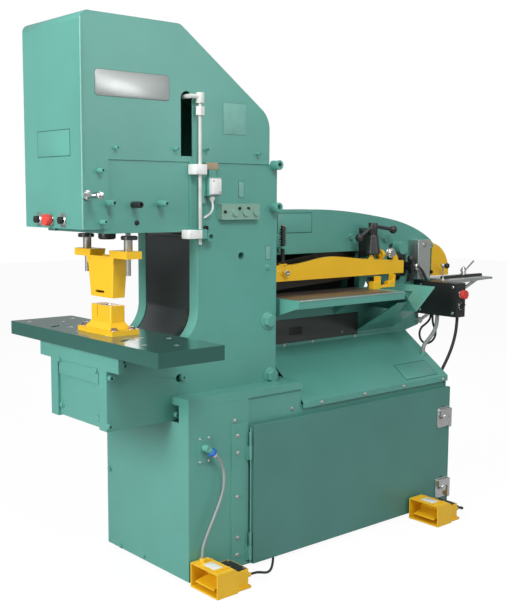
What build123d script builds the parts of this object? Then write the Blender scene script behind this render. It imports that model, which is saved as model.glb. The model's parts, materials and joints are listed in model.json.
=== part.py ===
import os
from math import cos, radians, sin

from build123d import *

# Ironworker machine: a hydraulic punching station on a C-frame at one end, a plate shear in
# the middle, and an angle shear and a notcher at the other end, on a sheet metal cabinet.
# X runs from the punch to the notcher, Y from the door to the back, Z up from the floor.
# The origin is the middle of the floor anchor holes. All sizes are in mm.

# Cabinet
base_length = 1447.0
base_depth = 535.0
floor_gap = 12.0
base_x = base_length / 2
base_y = base_depth / 2
panel_t = 10.0
shelf_z = 646.0
shelf_t = 30.0
shelf_end_x = -170.5
hood_low_z = 590.0
hood_top_z = 767.0
anchor_dx = 1300.0
anchor_dy = 420.0
anchor_hole_r = 9.0

# Door of the cabinet and its hinges
door_x0 = -438.0
door_x1 = 724.0
door_z0 = 15.0
door_z1 = 544.0
door_y = -base_y - 19.5
hinge_x = -447.0
hinge_y = -base_y - 12.5

# Plug of the pedal cable on the front column
plug_x = -655.0
plug_y = 34.0
plug_z = 495.0

# C-frame of the punch
plate_t = 50.0
near_face_y = -170.5
far_face_y = 211.0
near_inner_y = near_face_y + plate_t
far_inner_y = far_face_y - plate_t
arm_front_x = -995.5
throat_x = -608.0
plate_rear_x = -226.5
arm_bottom_z = 586.0
arm_top_z = 852.0
throat_top_z = 1260.0
plate_top_z = 1505.0
throat_low_r = 125.0
throat_high_r = 25.0
bar_t = 20.0
bar_h = 55.0

# Punch tooling
punch_x = -880.0
table_t = 50.0
table_top_z = arm_top_z + table_t
ram_r = 45.0
nose_r = 20.0
nut_r = 31.0
nut_z = 1233.0
punch_stroke = 55.0
barrel_r = 100.0
bore_r = 70.0
running = 0.08
shaft_r = 9.0
sleeve_r = 15.0
shaft_y = 135.0
ear_z = 1171.0
ear_t = 26.0
bucket_z = 1030.0
block_w = 56.0
block_d = 130.0
die_top_z = 1002.0
die_r = 26.0
slug_r = 15.0

# Head cover
cover_t = 3.5
cover_front_x = -1079.5
cover_step_x = -980.0
cover_rear_x = -270.0
cover_low_z = 1275.0
cover_top_z = 1975.0
cover_near_y = -174.5
cover_far_y = 215.0
slot_x = -659.0
slot_w = 50.0
slot_low_z = 1525.0
slot_high_z = 1749.0
button_z = 1303.0
stop_y = 32.0
far_button_y = 118.0
near_button_y = -49.0

# Stroke rod beside the C-frame
rod_x = -619.0
rod_y = -200.0
rod_r = 6.0
arm_z = 1731.0

# Shear frame plates and the moving beam between them
near_frame_y = -17.5
frame_t = 30.0
beam_y = 15.0
beam_t = 38.0
far_frame_y = 56.0
frame_end_x = 897.5
frame_foot_x = 700.0
window_x0 = -215.0
window_x1 = 405.0
bed_z = 990.0
window_top_z = 1150.0
pivot_x = -300.0
pivot_z = 1120.0
pivot_r = 30.0
tail_z = 1036.0
blade_x0 = -190.0
blade_x1 = 395.0
blade_low0 = 993.0
blade_low1 = 1027.0
blade_h = 75.0
blade_t = 18.0

# Shear table, trough and hold-down
table_front_y = -267.5
table_x0 = -203.5
table_x1 = 415.5
trough_x = 498.5
trough_z = 895.0
bar_y = -92.5
hold_t = 25.0
screw_x = 420.0
screw_y = bar_y + hold_t / 2
screw_r = 8.0
stud_x = -112.0
stud_r = 8.0

# Notcher
notch_table_x1 = 1326.0
notch_y0 = -67.5
notch_y1 = 132.5
notch_z = 992.0
gauge_y = 3.5
lever_x = 1180.0
guard_r = 128.0
guard_h = 153.0
guard_x = frame_end_x - 7.5
guard_z = 1172.0

# Control box
box_x0 = 777.5
box_w = 62.0
box_y0 = -267.5
box_z0 = 848.0
box_h = 154.0
box_mid_x = box_x0 + box_w / 2 - 1.5
box_stop_z = 952.0
selector_z = 898.0


def save(part, label):
    part.label = label
    export_step(part, f"parts/{label}.step")


os.makedirs("parts", exist_ok=True)

# Cabinet

hood_rise = (hood_top_z - hood_low_z) / (base_y - 5 + near_frame_y)

with BuildPart() as base_cabinet:
    # floor plate with its four anchor pads
    with BuildSketch(Plane.XY.offset(floor_gap)):
        Rectangle(base_length, base_depth)
        with GridLocations(anchor_dx, anchor_dy, 2, 2):
            Circle(anchor_hole_r, mode=Mode.SUBTRACT)
    extrude(amount=panel_t)
    with BuildSketch(Plane.XY):
        with GridLocations(anchor_dx, anchor_dy, 2, 2):
            RectangleRounded(110, 90, 8)
            Circle(anchor_hole_r, mode=Mode.SUBTRACT)
    extrude(amount=floor_gap)
    # left end plate, notched for the arm of the C-frame
    with BuildSketch(Plane.YZ.offset(-base_x)) as left_end:
        with BuildLine():
            Polyline(
                (-base_y, floor_gap),
                (base_y, floor_gap),
                (base_y, shelf_z),
                (far_face_y + 30, shelf_z),
                (far_face_y + 30, arm_bottom_z - 2),
                (-210.5, arm_bottom_z - 2),
                (-210.5, shelf_z),
                (-base_y, shelf_z),
                close=True,
            )
        make_face()
    extrude(amount=12)
    # front column beside the door, and the set-back panel above the door
    with BuildSketch(Plane.XZ.offset(base_y)):
        with Locations(((-base_x - 447.5) / 2, (floor_gap + shelf_z) / 2)):
            Rectangle(base_x - 447.5, shelf_z - floor_gap)
    extrude(amount=-panel_t)
    with BuildSketch(Plane.XZ.offset(base_y - panel_t)):
        with Locations(((-457.5 + shelf_end_x) / 2, (530 + shelf_z) / 2)):
            Rectangle(shelf_end_x + 457.5, shelf_z - 530)
        with Locations(((shelf_end_x + base_x) / 2 - 5, 557.5)):
            Rectangle(base_x - shelf_end_x, 55)
        with Locations((-438.7, 276)):
            Rectangle(37.5, 510)
    extrude(amount=-panel_t)
    # hinge strip of the door
    with BuildSketch(Plane.XZ.offset(base_y)):
        with Locations((-491.5, 288)):
            Rectangle(77, 546)
    extrude(amount=4.5)
    # fixed hinge halves with their pins
    for low in (417, 33):
        with BuildSketch(Plane.XY.offset(low)):
            with Locations((hinge_x, hinge_y)):
                Circle(7)
            with Locations((hinge_x - 8, hinge_y + 4.5)):
                Rectangle(16, 7)
        extrude(amount=52)
        with BuildSketch(Plane.XY.offset(low + 52)):
            with Locations((hinge_x, hinge_y)):
                Circle(4)
        extrude(amount=51)
    # cable socket with its angled plug on the front column
    with BuildSketch(Plane.XZ.offset(base_y)):
        with Locations((-657, 489)):
            RectangleRounded(54, 98, 4)
    extrude(amount=4)
    with BuildSketch(Plane.XZ.offset(base_y)):
        with Locations((plug_x, plug_z)):
            Circle(13)
    extrude(amount=plug_y)
    plug_way = Vector(22, 0, -21).normalized()
    with BuildSketch(Plane(Vector(plug_x, -base_y - plug_y + 2, plug_z), z_dir=plug_way)):
        Circle(9)
    extrude(amount=26)
    # right end panel, under the slope of the hood
    with BuildSketch(Plane.YZ.offset(base_x - panel_t)):
        with BuildLine():
            Polyline(
                (-base_y + 5, floor_gap),
                (base_y, floor_gap),
                (base_y, hood_low_z - 5),
                (86.5, hood_top_z - 5),
                (near_frame_y - 1, hood_top_z - 5),
                (-base_y + 5, hood_low_z - 5),
                close=True,
            )
        make_face()
    extrude(amount=panel_t)
    # back panel with the rear slope folded from it
    with BuildSketch(Plane.YZ.offset(shelf_end_x + 2)):
        with BuildLine():
            Polyline(
                (base_y, floor_gap),
                (base_y, hood_low_z),
                (87, hood_top_z),
                (87, hood_top_z - 5),
                (base_y - panel_t, hood_low_z - 5),
                (base_y - panel_t, floor_gap),
                close=True,
            )
        make_face()
    extrude(amount=base_x - shelf_end_x - 2)
    with BuildSketch(Plane.XZ.offset(-base_y)):
        with Locations(((-base_x + shelf_end_x) / 2 + 10, (floor_gap + shelf_z) / 2)):
            Rectangle(base_x + shelf_end_x + 20, shelf_z - floor_gap)
    extrude(amount=panel_t)
    # cross walls that carry the C-frame and the shear frame
    with BuildSketch(Plane.YZ.offset(-240)):
        with Locations((0, (floor_gap + arm_bottom_z) / 2)):
            Rectangle(base_depth - 2 * panel_t, arm_bottom_z - floor_gap)
    extrude(amount=12)
    with BuildSketch(Plane.YZ.offset(-620)):
        with Locations((0, (floor_gap + arm_bottom_z) / 2)):
            Rectangle(base_depth - 2 * panel_t, arm_bottom_z - floor_gap)
    extrude(amount=12)
    with BuildSketch(Plane.YZ.offset(600)):
        with Locations((5, (floor_gap + 420) / 2)):
            Rectangle(base_depth - 2 * panel_t - 12, 420 - floor_gap)
    extrude(amount=12)
save(base_cabinet.part, "base_cabinet")

with BuildPart() as base_top_plate:
    with BuildSketch(Plane.XY.offset(shelf_z)):
        with Locations(((-base_x + shelf_end_x) / 2, 0)):
            Rectangle(base_x + shelf_end_x, base_depth)
        with Locations(((-base_x + plate_rear_x) / 2, (near_face_y + far_face_y) / 2)):
            Rectangle(base_x + plate_rear_x + 2, far_face_y - near_face_y + 1, mode=Mode.SUBTRACT)
    extrude(amount=shelf_t)
save(base_top_plate.part, "base_top_plate")

with BuildPart() as sloped_hood:
    with BuildSketch(Plane.YZ.offset(shelf_end_x + 2)):
        with BuildLine():
            Polyline(
                (-base_y, 569),
                (-base_y, hood_low_z),
                (near_frame_y - 0.3, hood_top_z),
                (near_frame_y - 0.3, hood_top_z + 14),
                (near_frame_y - 4.3, hood_top_z + 14),
                (near_frame_y - 4.3, hood_top_z + 2),
                (-base_y - 0.5, hood_low_z + 5.5),
                (-base_y - 4, hood_low_z + 3),
                (-base_y - 4, 569),
                close=True,
            )
        make_face()
    extrude(amount=base_x - shelf_end_x - 2)
    # gland of the conduit
    with BuildSketch(Plane.XY.offset(662)):
        with Locations((689, -155)):
            Circle(13)
    extrude(amount=26)
save(sloped_hood.part, "sloped_hood")

# a folded pan on two lift-off hinges
with BuildPart() as cabinet_door:
    with BuildSketch(Plane.XZ.offset(-door_y)):
        with Locations(((door_x0 + door_x1) / 2, (door_z0 + door_z1) / 2)):
            Rectangle(door_x1 - door_x0, door_z1 - door_z0)
    extrude(amount=-18)
    with BuildSketch(Plane.XZ.offset(-door_y - 3)):
        with Locations(((door_x0 + door_x1) / 2, (door_z0 + door_z1) / 2)):
            Rectangle(door_x1 - door_x0 - 6, door_z1 - door_z0 - 6)
    extrude(amount=-15, mode=Mode.SUBTRACT)
    for low in (417, 33):
        # turned knuckle and its leaf on the door's edge
        with BuildSketch(Plane.XY.offset(low + 53)):
            with Locations((hinge_x, hinge_y)):
                Circle(7)
            with Locations(((hinge_x + door_x0) / 2, hinge_y + 4)):
                Rectangle(door_x0 - hinge_x, 5)
            with Locations((hinge_x, hinge_y)):
                Circle(4 + running, mode=Mode.SUBTRACT)
        extrude(amount=51)
    with Locations((674, door_y, 413), (674, door_y, 92)):
        Box(16.4, 60, 16.4, mode=Mode.SUBTRACT)
save(cabinet_door.part, "cabinet_door")


def latch(label, z):
    # bent handle outside, square spindle and a cam inside
    with BuildPart() as handle:
        with BuildSketch(Plane.XZ.offset(-door_y + 3)):
            with BuildLine():
                Polyline(
                    (640, z + 40),
                    (716, z + 40),
                    (716, z - 44),
                    (700, z - 50),
                    (700, z + 8),
                    (640, z + 8),
                    close=True,
                )
            make_face()
        extrude(amount=16)
        fillet(handle.edges().filter_by(Axis.Y), 6)
        with BuildSketch(Plane.XZ.offset(-door_y + 0.3)):
            with Locations((674, z)):
                RectangleRounded(84, 92, 16)
        extrude(amount=5)
        with BuildSketch(Plane.XZ.offset(-door_y - 24)):
            with Locations((674, z)):
                Circle(8)
        extrude(amount=30)
        with BuildSketch(Plane.XZ.offset(-door_y - 24)):
            with Locations((690, z)):
                Rectangle(48, 20)
        extrude(amount=4)
    save(handle.part, label)


with BuildPart() as hydraulic_power_unit:
    # oil tank, flange motor and gear pump
    with Locations((150, 30, 122)):
        Box(620, 380, 200)
    fillet(hydraulic_power_unit.edges().filter_by(Axis.Z), 20)
    with BuildSketch(Plane.XY.offset(222)):
        with Locations((330, 20)):
            Circle(85)
    extrude(amount=180)
    with BuildSketch(Plane.XY.offset(222)):
        with Locations((60, -20)):
            Rectangle(150, 120)
    extrude(amount=90)
save(hydraulic_power_unit.part, "hydraulic_power_unit")

# C-frame


def c_plate(label, face_y, holes):
    with BuildPart() as plate:
        with BuildSketch(Plane.XZ.offset(-face_y)):
            with BuildLine():
                Polyline(
                    (throat_x - throat_low_r, arm_top_z),
                    (arm_front_x + bar_t, arm_top_z),
                    (arm_front_x + bar_t, arm_top_z - bar_h),
                    (arm_front_x, arm_top_z - bar_h),
                    (arm_front_x, arm_bottom_z),
                    (plate_rear_x, arm_bottom_z),
                    (plate_rear_x, plate_top_z),
                    (arm_front_x, plate_top_z),
                    (arm_front_x, throat_top_z),
                    (throat_x - throat_high_r, throat_top_z),
                )
                CenterArc((throat_x - throat_high_r, throat_top_z - throat_high_r), throat_high_r, 0, 90)
                Line((throat_x, throat_top_z - throat_high_r), (throat_x, arm_top_z + throat_low_r))
                CenterArc((throat_x - throat_low_r, arm_top_z + throat_low_r), throat_low_r, -90, 90)
            make_face()
            for x, z, r in holes:
                with Locations((x, z)):
                    Circle(r, mode=Mode.SUBTRACT)
        extrude(amount=-plate_t)
    save(plate.part, label)


c_plate("near_side_plate", near_face_y, ((-403, 1165, 14), (-692, 737, 14)))
c_plate("far_side_plate", far_inner_y, ())

with BuildPart() as frame_spacers:
    # turned spacers that hold the shear frame between the C-frame plates
    for x, z in ((-280, 912), (-280, 1250), (-380, 1250), (-380, 912)):
        with BuildSketch(Plane.XZ.offset(-near_inner_y)):
            with Locations((x, z)):
                Circle(32)
        extrude(amount=-(near_frame_y - near_inner_y))
        with BuildSketch(Plane.XZ.offset(-far_frame_y - frame_t)):
            with Locations((x, z)):
                Circle(32)
        extrude(amount=-(far_inner_y - far_frame_y - frame_t))
save(frame_spacers.part, "frame_spacers")

with BuildPart() as throat_liner:
    # bent sheet that closes the back of the throat between the plates
    with BuildSketch(Plane.XZ.offset(-near_inner_y)):
        with BuildLine():
            edge = [
                CenterArc((throat_x - throat_low_r, arm_top_z + throat_low_r), throat_low_r + 2, -90, 90),
                Line((throat_x + 2, arm_top_z + throat_low_r), (throat_x + 2, throat_top_z - throat_high_r)),
                CenterArc((throat_x - throat_high_r, throat_top_z - throat_high_r), throat_high_r + 2, 0, 88),
            ]
            back = [
                CenterArc((throat_x - throat_low_r, arm_top_z + throat_low_r), throat_low_r + 5, -90, 90),
                Line((throat_x + 5, arm_top_z + throat_low_r), (throat_x + 5, throat_top_z - throat_high_r)),
                CenterArc((throat_x - throat_high_r, throat_top_z - throat_high_r), throat_high_r + 5, 0, 88),
            ]
            Line(edge[0] @ 0, back[0] @ 0)
            Line(edge[2] @ 1, back[2] @ 1)
        make_face()
    extrude(amount=-(far_inner_y - near_inner_y))
save(throat_liner.part, "throat_liner")

with BuildPart() as arm_front_panel:
    with BuildSketch(Plane.XY.offset(arm_bottom_z + 4)):
        with Locations((arm_front_x + 16, (near_inner_y + far_inner_y) / 2)):
            Rectangle(12, far_inner_y - near_inner_y - 1)
    extrude(amount=arm_top_z - bar_h - arm_bottom_z - 5)
    with BuildSketch(Plane.XY.offset(744)):
        with Locations((arm_front_x + 12, (near_inner_y + far_inner_y) / 2)):
            Rectangle(20, far_inner_y - near_inner_y - 14)
    extrude(amount=arm_top_z - bar_h - 745)
    # bar across both plates, under the front edge of the punch table
    with Locations((arm_front_x + bar_t / 2, 22, arm_top_z - bar_h / 2)):
        Box(bar_t, 534, bar_h)
save(arm_front_panel.part, "arm_front_panel")

with BuildPart() as punch_table:
    with BuildSketch(Plane.XY.offset(arm_top_z)):
        with Locations((-876, 0.8)):
            Rectangle(265, 988.5)
        with Locations((punch_x, 0)):
            Circle(38, mode=Mode.SUBTRACT)
        with Locations((-948, 251), (-939, -206)):
            SlotOverall(60, 18, rotation=25, mode=Mode.SUBTRACT)
    extrude(amount=table_t)
    with BuildSketch(Plane.XY.offset(table_top_z)):
        with Locations(
            (-967, 430), (-866, 355), (-790, 413), (-919, 200), (-860, 228), (-950, 90),
            (-793, 300), (-944, -90), (-865, -191), (-800, -260), (-950, -330), (-870, -400),
        ):
            Circle(7)
    extrude(amount=-18, mode=Mode.SUBTRACT)
save(punch_table.part, "punch_table")

# Punch tooling

with BuildPart() as die_holder:
    with BuildSketch(Plane.XY.offset(table_top_z)):
        with Locations((punch_x, 0)):
            Rectangle(112, 230)
    extrude(amount=18)
    with BuildSketch(Plane.XY.offset(table_top_z + 18)):
        with Locations((punch_x, 0)):
            Rectangle(block_w + 30, block_d + 34)
    with BuildSketch(Plane.XY.offset(table_top_z + 40)):
        with Locations((punch_x, 0)):
            Rectangle(block_w + 4, block_d)
    loft()
    with BuildSketch(Plane.XY.offset(table_top_z + 40)):
        with Locations((punch_x, 0)):
            Rectangle(block_w + 4, block_d)
    extrude(amount=die_top_z - table_top_z - 40)
    fillet(
        die_holder.edges().filter_by(Axis.Z).filter_by(lambda e: e.center().Z > table_top_z + 50), 5
    )
    with BuildSketch(Plane.XY.offset(table_top_z)):
        with Locations((punch_x, 0)):
            Circle(slug_r + 5)
        with GridLocations(72, 196, 2, 2):
            with Locations((punch_x, 0)):
                Circle(9)
    extrude(amount=200, mode=Mode.SUBTRACT)
    with BuildSketch(Plane.XY.offset(die_top_z - 30)):
        with Locations((punch_x, 0)):
            Circle(die_r + running)
    extrude(amount=40, mode=Mode.SUBTRACT)
    # clamping slot in the front wall
    with Locations((punch_x - 30, 22, die_top_z - 20)):
        Box(12, 4, 42, mode=Mode.SUBTRACT)
save(die_holder.part, "die_holder")

with BuildPart() as punch_die:
    with BuildSketch(Plane.XY.offset(die_top_z - 30)):
        with Locations((punch_x, 0)):
            Circle(die_r)
            Circle(slug_r, mode=Mode.SUBTRACT)
    extrude(amount=30)
save(punch_die.part, "punch_die")

with BuildPart() as punch_cylinder:
    with BuildSketch(Plane.XY.offset(throat_top_z)):
        with Locations((punch_x, (near_inner_y + far_inner_y) / 2)):
            Rectangle(210, far_inner_y - near_inner_y)
        with Locations((punch_x, 0)):
            Circle(ram_r + 2.5, mode=Mode.SUBTRACT)
    extrude(amount=30)
    with BuildSketch(Plane.XY.offset(throat_top_z + 30)):
        with Locations((punch_x, 0)):
            Circle(barrel_r)
            Circle(ram_r + running, mode=Mode.SUBTRACT)
    extrude(amount=50)
    with BuildSketch(Plane.XY.offset(throat_top_z + 80)):
        with Locations((punch_x, 0)):
            Circle(barrel_r)
            Circle(bore_r, mode=Mode.SUBTRACT)
    extrude(amount=360)
save(punch_cylinder.part, "punch_cylinder")

with BuildPart() as punch_ram:
    with BuildSketch(Plane.XY.offset(nut_z)):
        with Locations((punch_x, 0)):
            Circle(nose_r)
    extrude(amount=35)
    with BuildSketch(Plane.XY.offset(nut_z + 35)):
        with Locations((punch_x, 0)):
            Circle(ram_r)
    extrude(amount=370)
    with BuildSketch(Plane.XY.offset(nut_z + 405)):
        with Locations((punch_x, 0)):
            Circle(bore_r - running)
    extrude(amount=50)
save(punch_ram.part, "punch_ram")

with BuildPart() as coupling_nut:
    with BuildSketch(Plane.XY.offset(nut_z)):
        with Locations((punch_x, 0)):
            Circle(nut_r)
            Circle(nose_r, mode=Mode.SUBTRACT)
    extrude(amount=35)
    chamfer(coupling_nut.edges().group_by(Axis.Z)[0].sort_by(SortBy.LENGTH)[-1], 5)
save(coupling_nut.part, "coupling_nut")

with BuildPart() as stripper_shafts:
    for y in (-shaft_y, shaft_y):
        with BuildSketch(Plane.XY.offset(1112)):
            with Locations((punch_x, y)):
                Circle(shaft_r)
        extrude(amount=throat_top_z - 1112)
        with BuildSketch(Plane.XY.offset(ear_z + ear_t + 0.5)):
            with Locations((punch_x, y)):
                Circle(sleeve_r)
        extrude(amount=1236 - ear_z - ear_t - 0.5)
        with BuildSketch(Plane.XY.offset(1236)):
            with Locations((punch_x, y)):
                Circle(22)
        extrude(amount=12)
save(stripper_shafts.part, "stripper_shafts")

with BuildPart() as stripper:
    # tapered bucket, open on top
    with BuildSketch(Plane.XY.offset(bucket_z)):
        with Locations((punch_x, 0)):
            Rectangle(54, 142)
    with BuildSketch(Plane.XY.offset(1176)):
        with Locations((punch_x, 0)):
            Rectangle(62, 172)
    loft()
    fillet(stripper.edges().filter_by(lambda e: abs(e.tangent_at(0.5).Z) > 0.8), 5)
    with BuildSketch(Plane.XY.offset(bucket_z + 12)):
        with Locations((punch_x, 0)):
            Rectangle(38, 122)
    with BuildSketch(Plane.XY.offset(1176)):
        with Locations((punch_x, 0)):
            Rectangle(44, 150)
    loft(mode=Mode.SUBTRACT)
    # ears that ride on the shafts, joined to the bucket's ends
    for side in (-1, 1):
        with BuildSketch(Plane.YZ.offset(punch_x - 31)):
            with BuildLine():
                Polyline(
                    (side * 172, ear_z + ear_t),
                    (side * 60, ear_z + ear_t),
                    (side * 74, 1150),
                    (side * 84, 1150),
                    (side * 90, ear_z),
                    (side * 172, ear_z),
                    close=True,
                )
            make_face()
        extrude(amount=62)
    with BuildSketch(Plane.XY.offset(ear_z - 20)):
        with Locations((punch_x, shaft_y), (punch_x, -shaft_y)):
            Circle(shaft_r + running)
    extrude(amount=80, mode=Mode.SUBTRACT)
    # way for the punch, sight slot in the front wall
    with BuildSketch(Plane.XY.offset(bucket_z - 5)):
        with Locations((punch_x, 0)):
            Rectangle(34, 46)
    extrude(amount=25, mode=Mode.SUBTRACT)
    with Locations((punch_x - 30, 8, bucket_z + 19)):
        Box(30, 58, 9, mode=Mode.SUBTRACT)
save(stripper.part, "stripper")

# Head cover over the C-frame, a folded sheet shell

def cover_side(shrink=0.0):
    # side view of the cover: round front corner, rear slope with round ends, step in front
    front = cover_front_x + shrink
    rear = cover_rear_x - shrink
    top = cover_top_z - shrink
    low = cover_low_z - 4 * (shrink > 0)
    step = cover_step_x + shrink
    foot = plate_top_z - 4 * (shrink > 0)
    corner_r = 28 - shrink
    with BuildSketch() as face:
        with BuildLine():
            Polyline((rear, foot), (step, foot), (step, low), (front, low))
            FilletPolyline(
                (front, low), (front, top), (-685 - shrink, top), (rear, 1680 - shrink), (rear, foot),
                radius=[corner_r, 40, 90],
            )
        make_face()
    return face.sketch


with BuildPart() as head_cover:
    with BuildSketch(Plane.XZ.offset(-cover_near_y)):
        add(cover_side())
    extrude(amount=-(cover_far_y - cover_near_y))
    with BuildSketch(Plane.XZ.offset(-cover_near_y - cover_t)):
        add(cover_side(cover_t))
    extrude(amount=-(cover_far_y - cover_near_y - 2 * cover_t), mode=Mode.SUBTRACT)
    # slot for the arm of the stroke rod
    with BuildSketch(Plane.XZ.offset(-cover_near_y + 5)):
        with Locations((slot_x, (slot_low_z + slot_high_z) / 2)):
            Rectangle(slot_w, slot_high_z - slot_low_z - slot_w)
        with Locations((slot_x, slot_low_z + 20)):
            Rectangle(slot_w, 40)
        with Locations((slot_x, slot_high_z - slot_w / 2)):
            Circle(slot_w / 2)
    extrude(amount=-12, mode=Mode.SUBTRACT)
    # holes for the three push buttons
    with BuildSketch(Plane.YZ.offset(cover_front_x - 5)):
        with Locations((stop_y, button_z), (far_button_y, button_z), (near_button_y, button_z)):
            Circle(11.3)
    extrude(amount=12, mode=Mode.SUBTRACT)
save(head_cover.part, "head_cover")


def push_button(label, x, y, z, facing, head_r, head_l):
    # mushroom or round head on a stem that slides in the panel hole
    plane = Plane((x, y, z), z_dir=facing)
    with BuildPart() as button:
        with BuildSketch(plane.offset(-16)):
            Circle(11)
        extrude(amount=26)
        with BuildSketch(plane.offset(10)):
            Circle(head_r)
        extrude(amount=head_l)
    save(button.part, label)


push_button("head_stop_button", cover_front_x, stop_y, button_z, (-1, 0, 0), 20, 18)
push_button("head_button_far", cover_front_x, far_button_y, button_z, (-1, 0, 0), 12, 8)
push_button("head_button_near", cover_front_x, near_button_y, button_z, (-1, 0, 0), 12, 8)
latch("door_latch_upper", 413)
latch("door_latch_lower", 92)

# Stroke rod, guides and limit switches on the near side

with BuildPart() as stroke_rod:
    with BuildSketch(Plane.XY.offset(1215)):
        with Locations((rod_x, rod_y)):
            Circle(rod_r)
    extrude(amount=arm_z - 1215)
    # clamp head and arm into the slot of the cover
    with BuildSketch(Plane.XY.offset(arm_z - 22)):
        with Locations((rod_x, rod_y)):
            Circle(15)
    extrude(amount=36)
    with BuildSketch(Plane.YZ.offset(slot_x - 5)):
        with Locations((rod_y, arm_z)):
            Circle(8)
    extrude(amount=rod_x - slot_x + 5)
    with BuildSketch(Plane.XZ.offset(-rod_y)):
        with Locations((slot_x, arm_z)):
            Circle(8)
    extrude(amount=-50)
    # trip collar
    with BuildSketch(Plane.XY.offset(1667)):
        with Locations((rod_x, rod_y)):
            RegularPolygon(17, 6)
    extrude(amount=30)
save(stroke_rod.part, "stroke_rod")

with BuildPart() as limit_switches:
    # mounting rail, upper guide block, switch body and lower guide bracket
    with BuildSketch(Plane.XZ.offset(-near_face_y)):
        with Locations((-618, 1375)):
            Rectangle(56, 260)
    extrude(amount=6)
    for z in (1462, 1236):
        with BuildSketch(Plane.XY.offset(z)):
            with Locations((rod_x - 8, (rod_y - 18 + near_face_y - 6) / 2)):
                Rectangle(50, near_face_y - 6 - rod_y + 18)
            with Locations((rod_x, rod_y)):
                Circle(rod_r + running, mode=Mode.SUBTRACT)
        extrude(amount=34)
    with BuildSketch(Plane.XZ.offset(-near_face_y)):
        with Locations((-561, 1420)):
            Rectangle(56, 66)
    extrude(amount=42)
    with BuildSketch(Plane.XZ.offset(-near_face_y)):
        with Locations((-563, 1472)):
            Rectangle(30, 38)
    extrude(amount=30)
    with BuildSketch(Plane.XZ.offset(-near_face_y + 2)):
        with Locations((-557, 1490)):
            Rectangle(62, 8, rotation=-12)
    extrude(amount=26)
    with Locations((-588, near_face_y - 3, 1440)):
        Box(30, 6, 60)
save(limit_switches.part, "limit_switches")

with BuildPart() as selector_block:
    with BuildSketch(Plane.XZ.offset(-near_face_y)):
        with Locations((-425, 1330)):
            RectangleRounded(182, 58, 4)
    extrude(amount=24)
    with BuildSketch(Plane.XZ.offset(-near_face_y + 30)):
        with Locations((-455, 1327), (-404, 1327), (-353, 1327)):
            Circle(9)
    extrude(amount=-24, mode=Mode.SUBTRACT)
    # plugs pressed into the three ports
    for x in (-455, -404, -353):
        with BuildSketch(Plane.XZ.offset(-near_face_y + 8)):
            with Locations((x, 1327)):
                Circle(9)
        extrude(amount=16)
        with BuildSketch(Plane.XZ.offset(-near_face_y + 24)):
            with Locations((x, 1327)):
                Circle(13)
        extrude(amount=8)
save(selector_block.part, "selector_block")

# Shear frame


def angle_opening(grow=0.0):
    # five-sided opening for angle bar
    with BuildSketch() as face:
        with BuildLine():
            Polyline(
                (trough_x, 903 - 1.4 * grow),
                (575 + grow, 980),
                (540 + grow, 1030 + grow),
                (457 - grow, 1030 + grow),
                (428 - grow, 973),
                close=True,
            )
        make_face()
    return face.sketch


def frame_side():
    # long flat crown that falls in one arc to the notcher end
    with BuildSketch() as face:
        with BuildLine():
            Line((-420, 870), (-420, 1333))
            Line((-420, 1333), (100, 1333))
            Spline(
                (100, 1333), (311.5, 1324), (518.5, 1300), (702.5, 1266), (frame_end_x, 1184),
                tangents=((1, 0), (1, -0.65)),
            )
            Polyline(
                (frame_end_x, 1184),
                (frame_end_x, 905),
                (817.5, 865),
                (817.5, 790),
                (frame_foot_x, 765),
                (frame_foot_x, 420),
                (-150, 420),
                (-150, 680),
                (-222, 870),
                (-420, 870),
            )
        make_face()
        with Locations(((window_x0 + window_x1) / 2, (930 + window_top_z) / 2)):
            Rectangle(window_x1 - window_x0, window_top_z - 930, mode=Mode.SUBTRACT)
        add(angle_opening(), mode=Mode.SUBTRACT)
    return face.sketch


with BuildPart() as shear_frame_near:
    with BuildSketch(Plane.XZ.offset(-near_frame_y)):
        add(frame_side())
    extrude(amount=-frame_t)
    # pivot pin of the beam
    with BuildSketch(Plane.XZ.offset(-near_frame_y - frame_t)):
        with Locations((pivot_x, pivot_z)):
            Circle(pivot_r)
    extrude(amount=-(far_frame_y - near_frame_y))
    # spacer bosses between the two plates
    with BuildSketch(Plane.XZ.offset(-near_frame_y - frame_t)):
        with Locations((860, 935), (300, 1280), (660, 1235), (300, 600), (560, 760), (-60, 600)):
            Circle(22)
    extrude(amount=-(far_frame_y - near_frame_y - frame_t))
    # bearing boss above the angle shear, stud of the notcher guard
    with BuildSketch(Plane.XZ.offset(-near_frame_y)):
        with Locations((643, 1158)):
            Circle(30)
    extrude(amount=48)
    with BuildSketch(Plane.XZ.offset(-near_frame_y)):
        with Locations((guard_x, guard_z)):
            Circle(4)
    extrude(amount=7)
    # welded gusset that guides the stud of the hold-down
    with BuildSketch(Plane.XY.offset(1180)):
        with BuildLine():
            Polyline(
                (stud_x - 34, near_frame_y + 1), (stud_x - 20, screw_y - 20), (stud_x + 20, screw_y - 20),
                (stud_x + 34, near_frame_y + 1), close=True,
            )
        make_face()
        with Locations((stud_x, screw_y)):
            Circle(stud_r + running, mode=Mode.SUBTRACT)
    extrude(amount=8)
save(shear_frame_near.part, "shear_frame_near")

with BuildPart() as shear_frame_far:
    with BuildSketch(Plane.XZ.offset(-far_frame_y)):
        add(frame_side())
        with Locations((pivot_x, pivot_z)):
            Circle(pivot_r + running, mode=Mode.SUBTRACT)
    extrude(amount=-frame_t)
    # stud of the notcher guard
    with BuildSketch(Plane.XZ.offset(-far_frame_y - frame_t)):
        with Locations((guard_x, guard_z)):
            Circle(4)
    extrude(amount=-7)
save(shear_frame_far.part, "shear_frame_far")

with BuildPart() as lower_shear_blade:
    with BuildSketch(Plane.XZ.offset(-near_frame_y)):
        with Locations(((blade_x0 + blade_x1) / 2, (930 + bed_z) / 2)):
            Rectangle(blade_x1 - blade_x0 + 20, bed_z - 930)
    extrude(amount=-frame_t)
save(lower_shear_blade.part, "lower_shear_blade")

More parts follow.
